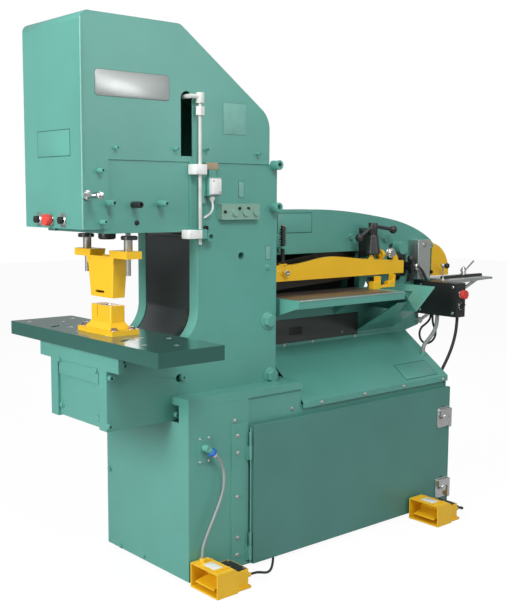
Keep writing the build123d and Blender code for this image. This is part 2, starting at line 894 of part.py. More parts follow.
blade_rise = (blade_low1 - blade_low0) / (blade_x1 - blade_x0)
with BuildPart() as shear_beam:
    with BuildSketch(Plane.XZ.offset(-beam_y)):
        with BuildLine():
            Polyline(
                (-585, tail_z),
                (-585, 1092),
                (-380, 1178),
                (-300, 1188),
                (-225, 1160),
                (-150, 1112),
                (0, 1122),
                (160, 1143),
                (400, 1175),
                (700, 1186),
                (880, 1166),
                (930, 1140),
                (976, 1110),
                (976, 1066),
                (900, 1066),
                (640, 1060),
                (620, 880),
                (430, 865),
                (405, 900),
                (405, 1045),
                (-190, 1005),
                (-235, 1058),
                (-380, tail_z),
                close=True,
            )
        make_face()
        add(angle_opening(4), mode=Mode.SUBTRACT)
        with Locations((pivot_x, pivot_z)):
            Circle(pivot_r + running, mode=Mode.SUBTRACT)
    extrude(amount=-beam_t)
    # seat of the upper blade
    with BuildSketch(Plane.XZ.offset(-beam_y)):
        with BuildLine():
            Polyline(
                (blade_x0 - 1, 980),
                (406, 980),
                (406, blade_low1 + blade_h + 1),
                (blade_x1, blade_low1 + blade_h + 0.3),
                (blade_x0 - 1, blade_low0 + blade_h + 0.3),
                close=True,
            )
        make_face()
    extrude(amount=-(blade_t - 2), mode=Mode.SUBTRACT)
save(shear_beam.part, "shear_beam")

with BuildPart() as upper_shear_blade:
    with BuildSketch(Plane.XZ.offset(-beam_y + 2)):
        with BuildLine():
            Polyline(
                (blade_x0, blade_low0),
                (blade_x1, blade_low1),
                (blade_x1, blade_low1 + blade_h),
                (blade_x0, blade_low0 + blade_h),
                close=True,
            )
        make_face()
    extrude(amount=-blade_t)
save(upper_shear_blade.part, "upper_shear_blade")

cyl_x = -545.0
cyl_y = 34.0
with BuildPart() as shear_cylinder:
    with BuildSketch(Plane.XY.offset(arm_bottom_z + 94)):
        with Locations((cyl_x + 10, (near_inner_y + far_inner_y) / 2)):
            Rectangle(120, far_inner_y - near_inner_y)
    extrude(amount=20)
    with BuildSketch(Plane.XY.offset(arm_bottom_z + 114)):
        with Locations((cyl_x, cyl_y)):
            Circle(50)
    extrude(amount=260)
    with BuildSketch(Plane.XY.offset(arm_bottom_z + 140)):
        with Locations((cyl_x, cyl_y)):
            Circle(30 + running)
    extrude(amount=260, mode=Mode.SUBTRACT)
save(shear_cylinder.part, "shear_cylinder")

with BuildPart() as shear_cylinder_rod:
    with BuildSketch(Plane.XY.offset(arm_bottom_z + 145)):
        with Locations((cyl_x, cyl_y)):
            Circle(30)
    extrude(amount=tail_z - 14 - arm_bottom_z - 145)
    with BuildSketch(Plane.XY.offset(tail_z - 14)):
        with Locations((cyl_x, cyl_y)):
            Circle(30)
    with BuildSketch(Plane.XY.offset(tail_z - 0.3)):
        with Locations((cyl_x, cyl_y)):
            Circle(12)
    loft()
save(shear_cylinder_rod.part, "shear_cylinder_rod")

# Shear table, trough and hold-down

with BuildPart() as shear_table:
    with BuildSketch(Plane.YZ.offset(table_x0)) as end_bracket:
        with BuildLine():
            Polyline(
                (table_front_y, 959),
                (table_front_y, bed_z - 7),
                (near_frame_y - 0.3, bed_z - 7),
                (near_frame_y - 0.3, 877),
                close=True,
            )
        make_face()
    extrude(amount=8)
    with BuildSketch(Plane.XY.offset(bed_z - 8)):
        with Locations(((table_x0 + table_x1) / 2, (table_front_y + near_frame_y) / 2)):
            Rectangle(table_x1 - table_x0, near_frame_y - table_front_y - 0.6)
    extrude(amount=8)
    with BuildSketch(Plane.YZ.offset(table_x0)):
        with BuildLine():
            Polyline(
                (table_front_y + 0.3, bed_z),
                (table_front_y - 5, bed_z - 6),
                (table_front_y - 5, bed_z - 33),
                (table_front_y + 1, bed_z - 33),
                (table_front_y + 1, bed_z - 9),
                (table_front_y + 8, bed_z - 4),
                close=True,
            )
        make_face()
    extrude(amount=table_x1 - table_x0)
    with BuildSketch(Plane.YZ.offset(250)):
        with BuildLine():
            Polyline(
                (-180, bed_z - 7),
                (near_frame_y - 0.3, bed_z - 7),
                (near_frame_y - 0.3, 880),
                close=True,
            )
        make_face()
    extrude(amount=8)
save(shear_table.part, "shear_table")

with BuildPart() as angle_trough:
    # V of folded plate that leads to the angle opening
    with BuildSketch(Plane.XZ.offset(-table_front_y)):
        with BuildLine():
            Polyline(
                (table_x1 + 1, 984),
                (trough_x, trough_z),
                (620.5, 991),
                (620.5, 998),
                (616, 998),
                (trough_x, trough_z + 7),
                (table_x1 + 1, 992),
                close=True,
            )
        make_face()
    extrude(amount=-(near_frame_y - table_front_y - 0.3))
    # relief in the right wing beside the blades
    with Locations((560, -120, 945)):
        Box(70, 110, 60, rotation=(0, -38, 0), mode=Mode.SUBTRACT)

with BuildPart() as scrap_slide:
    # plate under the trough that leads offcuts down to the hood
    with BuildSketch(Plane.YZ.offset(391)):
        with BuildLine():
            Polyline(
                (-255, 938), (-251, 941), (near_frame_y - 0.3, 800), (near_frame_y - 0.3, 793), close=True
            )
        make_face()
    extrude(amount=245)
    with BuildSketch(Plane.XY.offset(700)):
        with BuildLine():
            Polyline((438, -280), (700, -280), (700, -165), (500, -165), close=True)
        make_face()
    extrude(amount=300, mode=Mode.SUBTRACT)
save(Compound(children=[angle_trough.part, scrap_slide.part]), "angle_trough")

with BuildPart() as hold_down_bar:
    with BuildSketch(Plane.XZ.offset(-bar_y)) as bar_side:
        with BuildLine():
            Line((-200, 1048), (-200, 1112))
            Line((-200, 1112), (-60, 1112))
            Spline((-60, 1112), (145, 1136), (330, 1122), tangents=((1, 0.05), (1, -0.1)))
            Polyline((330, 1122), (614.5, 1104), (614.5, 1048), (-200, 1048))
        make_face()
    extrude(amount=-hold_t)
    # stud and washer at the left end, lugs and ring at the right end
    with BuildSketch(Plane.XY.offset(1105)):
        with Locations((stud_x, screw_y)):
            Circle(stud_r)
    extrude(amount=167)
    with BuildSketch(Plane.XY.offset(1112)):
        with Locations((stud_x, screw_y)):
            Circle(18)
    extrude(amount=6)
    for x in (403, 560):
        with BuildSketch(Plane.XZ.offset(-bar_y)):
            with BuildLine():
                Polyline((x - 20, 1100), (x - 12, 1124), (x, 1138), (x + 12, 1124), (x + 20, 1100), close=True)
            make_face()
        extrude(amount=-8)
    with BuildSketch(Plane.YZ.offset(462)):
        with Locations((bar_y + hold_t / 2, 1134)):
            Circle(24)
    extrude(amount=12)
    with BuildSketch(Plane.YZ.offset(456)):
        with Locations((bar_y + hold_t / 2, 1134)):
            Circle(9)
    extrude(amount=44)
    # thread for the screw
    with BuildSketch(Plane.XY.offset(1052)):
        with Locations((screw_x, screw_y)):
            Circle(screw_r + running)
    extrude(amount=100, mode=Mode.SUBTRACT)
save(hold_down_bar.part, "hold_down_bar")

with BuildPart() as hold_down_bracket:
    # tapered post on a web that is welded to the frame plate
    with BuildSketch(Plane.XY.offset(1140)):
        with Locations((screw_x, screw_y)):
            Circle(35)
    with BuildSketch(Plane.XY.offset(1222)):
        with Locations((screw_x, screw_y)):
            Circle(22)
    loft()
    with BuildSketch(Plane.YZ.offset(screw_x - 22)):
        with BuildLine():
            Polyline(
                (screw_y, 1141), (near_frame_y - 0.3, 1120), (near_frame_y - 0.3, 1250),
                (screw_y, 1221), close=True,
            )
        make_face()
    extrude(amount=44)
    with BuildSketch(Plane.XY.offset(1130)):
        with Locations((screw_x, screw_y)):
            Circle(screw_r + running)
    extrude(amount=100, mode=Mode.SUBTRACT)
    # room for the hub of the handle above the post
    with BuildSketch(Plane.XY.offset(1222)):
        with Locations((screw_x, screw_y)):
            Circle(24)
    extrude(amount=60, mode=Mode.SUBTRACT)
save(hold_down_bracket.part, "hold_down_bracket")

with BuildPart() as hold_down_screw:
    with BuildSketch(Plane.XY.offset(1054)):
        with Locations((screw_x, screw_y)):
            Circle(screw_r)
    extrude(amount=200)
    with BuildSketch(Plane.XY.offset(1222.2)):
        with Locations((screw_x, screw_y)):
            Circle(20)
    extrude(amount=52)
    # cranked handle with two ball knobs
    for reach, drop in ((-86, 50), (132, 19)):
        far = Vector(reach, 0, -drop)
        start = Vector(screw_x, screw_y, 1261)
        with BuildSketch(Plane(start, z_dir=far)):
            Circle(8)
        extrude(amount=far.length)
        with Locations(start + far):
            Sphere(18)
save(hold_down_screw.part, "hold_down_screw")

with BuildPart() as bar_stock_guide:
    # forked guide for bar stock, seated on the end of the shear bed
    with BuildSketch(Plane.XZ.offset(135)):
        with BuildLine():
            Polyline(
                (372, bed_z + 0.1), (412, bed_z + 0.1), (420, bed_z + 4), (509, bed_z + 4), (513, 1046), (500, 1052), (500, 1022), (474, 1018),
                (470, 1004), (417, 1002), (417, 1044), (404, 1044), (404, 1022), (372, 1022), close=True,
            )
        make_face()
    extrude(amount=-30)
save(bar_stock_guide.part, "bar_stock_guide")

with BuildPart() as angle_shear_housing:
    # bent cover with an open back, and the rounded end of the angle blade holder
    with Locations((776, -47.7, 1101)):
        Box(87, 59.6, 178)
    with Locations((776, -44, 1101)):
        Box(81, 60, 172, mode=Mode.SUBTRACT)
    fillet(angle_shear_housing.edges().filter_by(Axis.Z).group_by(Axis.Y)[0], 1.5)
save(angle_shear_housing.part, "angle_shear_housing")

with BuildPart() as angle_clamp:
    # black lever with a ball knob and a slanted handle
    with BuildSketch(Plane.XZ.offset(-near_frame_y + 0.3)):
        with Locations((700, 1072)):
            Circle(20)
    extrude(amount=62)
    with BuildSketch(Plane.XZ.offset(60)):
        with BuildLine():
            Polyline((682, 1078), (718, 1084), (708, 1035), (700, 1008), (672, 1004), (690, 1040), close=True)
        make_face()
    extrude(amount=16)
    with Locations((683, -76, 1107)):
        Sphere(16)
    with BuildSketch(Plane(Vector(696, -76, 1066), z_dir=(-0.3, 0, 1))):
        Circle(8)
    extrude(amount=40)
save(angle_clamp.part, "angle_clamp")

# Notcher

with BuildPart() as notching_punch:
    with BuildSketch(Plane.XY.offset(1012)):
        with Locations((948, cyl_y)):
            Rectangle(56, 50)
    extrude(amount=54)
save(notching_punch.part, "notching_punch")

with BuildPart() as notching_die:
    with BuildSketch(Plane.XY.offset(932)):
        with Locations(((frame_end_x + 1010) / 2, cyl_y)):
            Rectangle(1010 - frame_end_x, 148)
        with Locations((940, cyl_y)):
            Rectangle(78, 52, mode=Mode.SUBTRACT)
    extrude(amount=notch_z - 1 - 932)
save(notching_die.part, "notching_die")

with BuildPart() as notcher_table:
    with BuildSketch(Plane.XY.offset(notch_z - 10)):
        with Locations(((905 + notch_table_x1) / 2, (notch_y0 + notch_y1) / 2)):
            Rectangle(notch_table_x1 - 905, notch_y1 - notch_y0)
        with Locations((950, cyl_y)):
            Rectangle(122, 150, mode=Mode.SUBTRACT)
    extrude(amount=10)
    with BuildSketch(Plane.XZ.offset(-notch_y0)):
        with BuildLine():
            Polyline((905, notch_z - 10), (905, notch_z - 24), (notch_table_x1 - 40, notch_z - 10), close=True)
        make_face()
    extrude(amount=-5)
    # stop pin with a ball at the near corner
    with BuildSketch(Plane.XY.offset(notch_z)):
        with Locations((940, notch_y0 + 8)):
            Circle(11)
    extrude(amount=8)
    with BuildSketch(Plane.XY.offset(notch_z)):
        with Locations((940, notch_y0 + 8)):
            Circle(3.5)
    extrude(amount=66)
    with Locations((940, notch_y0 + 8, notch_z + 72)):
        Sphere(11)
    # slanting strut down to the frame
    top = Vector(1251, -32, notch_z - 8)
    foot = Vector(812, -32, 812)
    with BuildSketch(Plane(foot, z_dir=top - foot)):
        Circle(8)
    extrude(amount=(top - foot).length)
    with BuildSketch(Plane.XZ.offset(-near_frame_y + 0.0)):
        with Locations((806, 812)):
            Circle(14)
    extrude(amount=24)
save(notcher_table.part, "notcher_table")

with BuildPart() as gauge_bar:
    # sliding stop across the table, slotted for its clamp
    with BuildSketch(Plane.XY.offset(notch_z)):
        with Locations(((1012 + notch_table_x1) / 2, gauge_y)):
            Rectangle(notch_table_x1 - 1012, 17)
        with Locations((lever_x, gauge_y)):
            SlotOverall(120, 7, mode=Mode.SUBTRACT)
    extrude(amount=13)
save(gauge_bar.part, "gauge_bar")

with BuildPart() as notcher_guard:
    # two quarter round cheeks with pivot ears, joined by a bent front sheet
    x0 = frame_end_x + 3
    for grow, side, mode in ((0, 4.5, Mode.ADD), (-3, 1.5, Mode.SUBTRACT)):
        curve = [
            (x0 + (guard_r + grow) * sin(radians(a)), 1017 + (guard_h + grow) * cos(radians(a)))
            for a in (0, 45, 90)
        ]
        with BuildSketch(Plane.XZ.offset(-near_frame_y + side)):
            with BuildLine():
                ThreePointArc(*curve)
                Polyline(
                    curve[-1],
                    (curve[-1][0], 1014 + grow),
                    (x0 - 2 + 3 * grow, 1014 + grow),
                    (x0 - 2 + 3 * grow, curve[0][1]),
                    curve[0],
                )
            make_face()
        extrude(amount=-(far_frame_y + frame_t - near_frame_y + 2 * side), mode=mode)
    # the top of the front sheet clears the frame when the guard is lifted
    with Locations((x0, (near_frame_y + far_frame_y + frame_t) / 2, 1172)):
        Box(14, far_frame_y + frame_t - near_frame_y + 3, 14, mode=Mode.SUBTRACT)
    for y in (near_frame_y - 4.5, far_frame_y + frame_t + 1.5):
        with BuildSketch(Plane.XZ.offset(-y)):
            with Locations((guard_x, guard_z)):
                Circle(10)
            with Locations((guard_x + 7, guard_z - 8)):
                Rectangle(16, 20)
            with Locations((guard_x, guard_z)):
                Circle(4 + running, mode=Mode.SUBTRACT)
        extrude(amount=-3)
save(notcher_guard.part, "notcher_guard")

with BuildPart() as gauge_lever:
    # clamp on the gauge bar: flange, waisted grip and slanted lever
    with BuildSketch(Plane.XZ.offset(-gauge_y)):
        with BuildLine():
            Polyline(
                (lever_x, notch_z + 13.3), (lever_x + 16, notch_z + 13.3), (lever_x + 16, notch_z + 20),
                (lever_x + 11, notch_z + 22), (lever_x + 16, notch_z + 34), (lever_x + 9, notch_z + 50),
                (lever_x, notch_z + 56), close=True,
            )
        make_face()
    revolve(axis=Axis((lever_x, gauge_y, 0), (0, 0, 1)))
    with BuildSketch(Plane(Vector(lever_x, gauge_y, notch_z + 24), z_dir=(80, 0, 52))):
        Circle(4.5)
    extrude(amount=98)
save(gauge_lever.part, "gauge_lever")

# Control box

with BuildPart() as control_box:
    with Locations((box_x0 + box_w / 2, (box_y0 + near_frame_y) / 2 - 0.15, box_z0 + box_h / 2)):
        Box(box_w, near_frame_y - box_y0 - 0.3, box_h)
    fillet(control_box.edges().filter_by(Axis.Y), 3)
    with Locations((box_x0 + box_w / 2, box_y0 + 60, box_z0 + box_h / 2)):
        Box(box_w - 5, 114, box_h - 5, mode=Mode.SUBTRACT)
    with BuildSketch(Plane.XZ.offset(-box_y0 + 5)):
        with Locations((box_mid_x, box_stop_z), (box_mid_x, selector_z)):
            Circle(11.3)
    extrude(amount=-12, mode=Mode.SUBTRACT)
save(control_box.part, "control_box")

push_button("box_stop_button", box_mid_x, box_y0, box_stop_z, (0, -1, 0), 20, 18)

with BuildPart() as box_selector:
    with BuildSketch(Plane.XZ.offset(-box_y0 - 16)):
        with Locations((box_mid_x, selector_z)):
            Circle(11)
    extrude(amount=18)
    with BuildSketch(Plane.XZ.offset(-box_y0 + 2)):
        with Locations((box_mid_x, selector_z)):
            Circle(14)
    extrude(amount=8)
    with BuildSketch(Plane.XZ.offset(-box_y0 + 10)):
        with Locations((box_mid_x, selector_z)):
            Rectangle(8, 26, rotation=-35)
    extrude(amount=10)
save(box_selector.part, "box_selector")

# Foot pedals

pedal_out_front = 162.5
pedal_out_rear = 189.5
pedals = {"front": (-722.0, -base_y - pedal_out_front, 155.0), "rear": (444.0, -base_y - pedal_out_rear, 157.0)}
shield_l = 87.0
pedal_l = 162.0
pedal_h = 90.0
with BuildPart() as pedal_shields:
    for x, y, w in pedals.values():
        # full shield, open to the foot, on a base with the switch case behind it
        with BuildSketch(Plane.XZ.offset(-y)):
            with BuildLine():
                Polyline(
                    (x, 0), (x, pedal_h), (x + shield_l - 8, pedal_h), (x + shield_l + 6, pedal_h - 12),
                    (x + shield_l + 6, 0), close=True,
                )
            make_face()
        extrude(amount=-w)
        with Locations((x + shield_l / 2 - 6, y + w / 2, pedal_h / 2 + 1)):
            Box(shield_l - 1, w - 10, pedal_h - 10, mode=Mode.SUBTRACT)
        with BuildSketch(Plane.XY):
            with Locations((x + shield_l + 38, y + w / 2)):
                RectangleRounded(72, w - 36, 12)
        extrude(amount=66)
        with BuildSketch(Plane.XY):
            with Locations((x + shield_l + 36, y + w / 2)):
                RectangleRounded(80, w - 16, 6)
        extrude(amount=8)
    # gland of the front pedal's cable
    with BuildSketch(Plane.XY.offset(86)):
        with Locations((-688, -base_y - 32.5)):
            Circle(10)
    extrude(amount=18)
    # glands at the back of both switch cases
    for x, y, w in pedals.values():
        with BuildSketch(Plane.YZ.offset(x + shield_l + 66)):
            with Locations((y + 34, 38)):
                Circle(8)
        extrude(amount=22)
save(pedal_shields.part, "pedal_shields")

for name, (x, y, w) in pedals.items():
    with BuildPart() as treadle:
        # foot plate on a cross pin at its rear edge
        with BuildSketch(Plane.XZ.offset(-y - 24)):
            with BuildLine():
                Polyline(
                    (x + 4, 24), (x + 4, 29), (x + 66, 40), (x + 76, 40), (x + 76, 33), (x + 68, 33), close=True
                )
            make_face()
        extrude(amount=-(w - 48))
        with BuildSketch(Plane.XZ.offset(-y - 5.2)):
            with Locations((x + 74, 36)):
                Circle(4)
        extrude(amount=-(w - 10.4))
    save(treadle.part, f"{name}_treadle")

# Cords and conduit, as straight runs with tangent arcs


def cord(label, points, radius):
    runs = [(b - a).length for a, b in zip(points, points[1:])]
    radii = []
    for i in range(1, len(points) - 1):
        turn = (points[i] - points[i - 1]).get_angle(points[i + 1] - points[i])
        short = min(runs[i - 1], runs[i])
        radii.append(0.45 * short / (sin(radians(turn / 2)) / cos(radians(turn / 2))))
    print(label, "radii", [round(r) for r in radii], "runs", [round(r) for r in runs])
    with BuildPart() as tube:
        with BuildLine() as route:
            FilletPolyline(*points, radius=radii)
        with BuildSketch(Plane(points[0], z_dir=points[1] - points[0])):
            Circle(radius)
        sweep(path=route.line)
    print(label, "volume", round(tube.part.volume), "section x length",
          round(3.14159 * radius**2 * sum(edge.length for edge in route.edges())))
    save(tube.part, label)


plug_end = Vector(plug_x, -base_y - plug_y + 2, plug_z) + plug_way * 26
cord("pedal_cord_front", [plug_end, plug_end + plug_way * 30] + [Vector(*p) for p in (
    (-595, -300, 431), (-587, -300, 385), (-590, -300, 340), (-607, -300, 297), (-628, -300, 255),
    (-651, -300, 213), (-673, -300, 172), (-688, -300, 134), (-688, -300, 104),
)], 5.2)
cord("box_conduit", [Vector(*p) for p in (
    (791, -150, 847.7), (791, -150, 815), (778, -151, 783), (752, -152, 757), (723, -153, 737),
    (689, -155, 716), (689, -155, 688),
)], 9.0)
# cable from the box to the end of the cabinet
cord("box_cable", [Vector(*p) for p in (
    (824, -238, 847.7), (824, -236, 800), (818, -232, 752), (806, -226, 704), (789, -218, 658),
    (768, -209, 614), (749, -203, 577), (740, -203, 560), (723.8, -203, 560),
)], 7.0)
# slack loop of cable under the box
cord("box_loop", [Vector(*p) for p in (
    (800, -116, 847.7), (800, -116, 815), (815, -114, 788), (834, -112, 761), (826, -110, 731),
    (798, -107, 713), (764, -104, 712), (735, -101, 733), (728, -98, 765), (747, -95, 790),
    (778, -92, 800), (806, -89, 813), (822, -88, 830), (822, -88, 847.7),
)], 5.0)
# rear cable of the front pedal, over the floor to the cabinet
cord("pedal_cord_rear", [Vector(*p) for p in (
    (-547, -396, 38), (-520, -396, 38), (-494, -394, 31), (-467, -387, 20), (-440, -374, 11),
    (-413, -357, 6), (-387, -336, 4.7), (-361, -311, 4.8), (-336, -286, 4.7), (-312, -259, 4.8),
)], 4.6)
# rear cable of the rear pedal
cord("pedal_cord_far", [Vector(*p) for p in (
    (619, -423, 38), (643, -423, 38), (667, -416, 29), (689, -400, 16), (708, -377, 7),
    (724, -349, 4.8), (736, -318, 4.7), (740, -286, 4.8), (733, -259, 4.7), (716, -238, 4.8),
)], 4.6)
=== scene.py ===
import json
import math

import bmesh
import bpy
from mathutils import Matrix, Vector


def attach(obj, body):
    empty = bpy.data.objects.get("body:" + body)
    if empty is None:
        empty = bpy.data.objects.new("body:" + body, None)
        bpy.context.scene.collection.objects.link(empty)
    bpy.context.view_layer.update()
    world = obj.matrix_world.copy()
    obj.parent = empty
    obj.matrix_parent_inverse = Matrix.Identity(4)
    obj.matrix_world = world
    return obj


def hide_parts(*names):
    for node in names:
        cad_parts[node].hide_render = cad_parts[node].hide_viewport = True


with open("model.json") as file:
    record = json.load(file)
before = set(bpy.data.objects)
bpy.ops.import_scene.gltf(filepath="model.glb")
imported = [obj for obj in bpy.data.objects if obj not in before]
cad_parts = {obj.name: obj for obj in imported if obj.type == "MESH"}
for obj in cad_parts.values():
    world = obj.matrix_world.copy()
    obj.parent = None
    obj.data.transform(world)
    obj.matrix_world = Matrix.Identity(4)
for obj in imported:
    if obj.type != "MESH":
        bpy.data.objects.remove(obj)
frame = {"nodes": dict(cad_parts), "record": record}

mm = 0.001
near, left, up = (0, -1, 0), (-1, 0, 0), (0, 0, 1)  # the ways that faces look
nodes = frame["nodes"]
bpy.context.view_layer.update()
print("frame loaded:", len(nodes), "nodes")


# small helpers for modelling by hand

def deselectAll():
    if bpy.context.object and bpy.context.object.mode != "OBJECT":
        bpy.ops.object.mode_set(mode="OBJECT")
    bpy.ops.object.select_all(action="DESELECT")


def makeActive(piece):
    deselectAll()
    piece.select_set(True)
    bpy.context.view_layer.objects.active = piece
    return piece


def applyModifiers(piece):
    makeActive(piece)
    for modifier in list(piece.modifiers):
        bpy.ops.object.modifier_apply(modifier=modifier.name)


def bevelEdges(piece, width, segments=3, angle=35):
    modifier = piece.modifiers.new("roundedEdges", "BEVEL")
    modifier.width = width * mm
    modifier.segments = segments
    modifier.limit_method = "ANGLE"
    modifier.angle_limit = math.radians(angle)
    applyModifiers(piece)


def finishPiece(piece, name, body, material):
    # the place goes into the mesh, the object stays at the origin
    makeActive(piece)
    bpy.ops.object.transform_apply(location=True, rotation=True, scale=True)
    bpy.ops.object.shade_smooth_by_angle(angle=math.radians(32))
    piece.name = name
    piece.data.name = name
    piece.data.materials.clear()
    piece.data.materials.append(material)
    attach(piece, body)
    return piece


def addRod(start, end, radius, vertices=24):
    # a cylinder primitive laid between two points, in mm
    a, b = Vector(start) * mm, Vector(end) * mm
    deselectAll()
    bpy.ops.mesh.primitive_cylinder_add(vertices=vertices, radius=radius * mm, depth=(b - a).length)
    rod = bpy.context.object
    rod.rotation_mode = "QUATERNION"
    rod.rotation_quaternion = (b - a).to_track_quat("Z", "Y")
    rod.location = (a + b) / 2
    return makeActive(rod)


def addBlock(centre, size):
    deselectAll()
    bpy.ops.mesh.primitive_cube_add(size=1, location=Vector(centre) * mm)
    block = bpy.context.object
    block.scale = Vector(size) * mm
    makeActive(block)
    bpy.ops.object.transform_apply(location=False, rotation=False, scale=True)
    return block


def selectFaces(piece, wanted):
    # edit mode with only the faces whose centre and normal pass the test
    makeActive(piece)
    bpy.ops.object.mode_set(mode="EDIT")
    bpy.ops.mesh.select_mode(type="FACE")
    bpy.ops.mesh.select_all(action="DESELECT")
    shape = bmesh.from_edit_mesh(piece.data)
    for face in shape.faces:
        face.select_set(bool(wanted(face.calc_center_median(), face.normal)))
    shape.select_flush_mode()
    bmesh.update_edit_mesh(piece.data)


def joinPieces(pieces):
    deselectAll()
    for piece in pieces:
        piece.select_set(True)
    bpy.context.view_layer.objects.active = pieces[0]
    if len(pieces) > 1:
        bpy.ops.object.join()
    return bpy.context.object


# materials, all on Object coordinates

def newMaterial(name, colour, roughness, metallic=0.0, coat=0.0):
    material = bpy.data.materials.new(name)
    material.use_nodes = True
    shader = material.node_tree.nodes["Principled BSDF"]
    shader.inputs["Base Color"].default_value = (*colour, 1)
    shader.inputs["Roughness"].default_value = roughness
    shader.inputs["Metallic"].default_value = metallic
    shader.inputs["Coat Weight"].default_value = coat
    shader.inputs["Coat Roughness"].default_value = 0.18
    material.diffuse_color = (*colour, 1)
    return material


def addNoise(tree, scale, detail=4.0, stretch=(1, 1, 1)):
    place = tree.nodes.new("ShaderNodeTexCoord")
    mapping = tree.nodes.new("ShaderNodeMapping")
    mapping.inputs["Scale"].default_value = stretch
    noise = tree.nodes.new("ShaderNodeTexNoise")
    noise.inputs["Scale"].default_value = scale
    noise.inputs["Detail"].default_value = detail
    tree.links.new(place.outputs["Object"], mapping.inputs["Vector"])
    tree.links.new(mapping.outputs["Vector"], noise.inputs["Vector"])
    return noise


def varyColour(material, noise, dark, light, low=0.3, high=0.7):
    tree = material.node_tree
    ramp = tree.nodes.new("ShaderNodeValToRGB")
    ramp.color_ramp.elements[0].position = low
    ramp.color_ramp.elements[0].color = (*dark, 1)
    ramp.color_ramp.elements[1].position = high
    ramp.color_ramp.elements[1].color = (*light, 1)
    tree.links.new(noise.outputs["Fac"], ramp.inputs["Fac"])
    shader = tree.nodes["Principled BSDF"]
    tree.links.new(ramp.outputs["Color"], shader.inputs["Base Color"])
    return ramp


def varyRoughness(material, noise, low, high):
    tree = material.node_tree
    spread = tree.nodes.new("ShaderNodeMapRange")
    spread.inputs["To Min"].default_value = low
    spread.inputs["To Max"].default_value = high
    tree.links.new(noise.outputs["Fac"], spread.inputs["Value"])
    tree.links.new(spread.outputs["Result"], tree.nodes["Principled BSDF"].inputs["Roughness"])


def addBump(material, noise, strength, distance):
    tree = material.node_tree
    bump = tree.nodes.new("ShaderNodeBump")
    bump.inputs["Strength"].default_value = strength
    bump.inputs["Distance"].default_value = distance
    tree.links.new(noise.outputs["Fac"], bump.inputs["Height"])
    tree.links.new(bump.outputs["Normal"], tree.nodes["Principled BSDF"].inputs["Normal"])


def scaled(colour, share):
    return tuple(min(1, c * share) for c in colour)


def paint(name, colour, roughness=0.32, coat=0.25, peel=0.05):
    # sprayed enamel: faint cloudiness, orange peel, a little uneven gloss
    material = newMaterial(name, colour, roughness, coat=coat)
    clouds = addNoise(material.node_tree, 3.2, 6)
    varyColour(material, clouds, scaled(colour, 0.93), scaled(colour, 1.05))
    varyRoughness(material, addNoise(material.node_tree, 9, 5), roughness - 0.05, roughness + 0.09)
    addBump(material, addNoise(material.node_tree, 420, 2), peel, 0.0006)
    return material


def metal(name, colour, roughness, grain=(1, 1, 1), scale=260, strength=0.12):
    material = newMaterial(name, colour, roughness, metallic=1.0)
    lay = addNoise(material.node_tree, scale, 3, grain)
    varyColour(material, lay, scaled(colour, 0.8), scaled(colour, 1.1), 0.2, 0.8)
    varyRoughness(material, addNoise(material.node_tree, 14, 5), roughness - 0.06, roughness + 0.12)
    addBump(material, lay, strength, 0.0003)
    return material


def plastic(name, colour, roughness, peel=0.08):
    material = newMaterial(name, colour, roughness)
    grain = addNoise(material.node_tree, 600, 2)
    varyColour(material, addNoise(material.node_tree, 20, 4), scaled(colour, 0.88), scaled(colour, 1.1))
    varyRoughness(material, addNoise(material.node_tree, 30, 3), roughness - 0.06, roughness + 0.08)
    addBump(material, grain, peel, 0.0003)
    return material


looks = {
    "machine_paint": paint("seaGreenEnamel", (0.098, 0.325, 0.270), 0.34),
    "yellow_paint": paint("yellowEnamel", (0.86, 0.50, 0.012), 0.34),
    "black_paint": paint("blackEnamel", (0.018, 0.018, 0.019), 0.38),
    "ground_steel": metal("groundSteel", (0.56, 0.56, 0.54), 0.36, (1, 8, 1)),
    "bright_steel": metal("brightSteel", (0.78, 0.78, 0.77), 0.2, (1, 1, 6), 180, 0.05),
    "black_plastic": plastic("blackPlastic", (0.015, 0.015, 0.016), 0.42),
    "red_plastic": plastic("redPlastic", (0.66, 0.06, 0.045), 0.3, 0.03),
    "white_plastic": plastic("whitePlastic", (0.74, 0.75, 0.73), 0.35),
    "cast_block": paint("greyGreenCasting", (0.20, 0.36, 0.29), 0.45, 0.0, 0.3),
    "cable_rubber": plastic("blackCable", (0.02, 0.02, 0.022), 0.5),
    "grey_cable": plastic("greyCable", (0.27, 0.29, 0.29), 0.5),
}

# finishes that only the small pieces and a few nodes use
# near black plastic standing in for shade: painted shade under the head, inside the shear window and in the
# recesses behind the door latches
paintedShadeBlack = plastic("darkInside", (0.006, 0.008, 0.007), 0.7)
platePale = metal("platePale", (0.62, 0.66, 0.64), 0.34, (6, 1, 1), 200, 0.06)
labelLine = plastic("labelLine", (0.02, 0.09, 0.075), 0.45)
# pale green of the labels and the switch bracket; the pale rods along the head's corner and the door's hinge
# edge use it as painted highlight
labelPale = plastic("labelPale", (0.17, 0.39, 0.335), 0.4)
labelWhite = plastic("labelWhite", (0.72, 0.73, 0.70), 0.45)
boltBlack = metal("boltBlack", (0.05, 0.05, 0.05), 0.38)
darkGreen = paint("darkGreenEnamel", (0.022, 0.105, 0.085), 0.2, 0.5)
# near black steel on the blades and the beam: painted shade inside the shear window
oiledSteel = metal("oiledSteel", (0.085, 0.08, 0.075), 0.34, (8, 1, 1), 120, 0.1)
linerBlack = paint("linerBlack", (0.012, 0.022, 0.020), 0.12, 0.6, 0.02)
warmSteel = metal("warmSteel", (0.62, 0.50, 0.46), 0.3)
zincWhite = plastic("zincWhite", (0.62, 0.64, 0.60), 0.4)
# pale steel of the notcher table and the angle shear housing; the thin strip on the shear table's front edge
# uses it as painted highlight
paleSteel = metal("paleSteel", (0.66, 0.69, 0.66), 0.42, (6, 1, 1), 160, 0.08)
wornSteel = metal("wornSteel", (0.30, 0.25, 0.22), 0.4, (10, 1, 1), 90, 0.1)
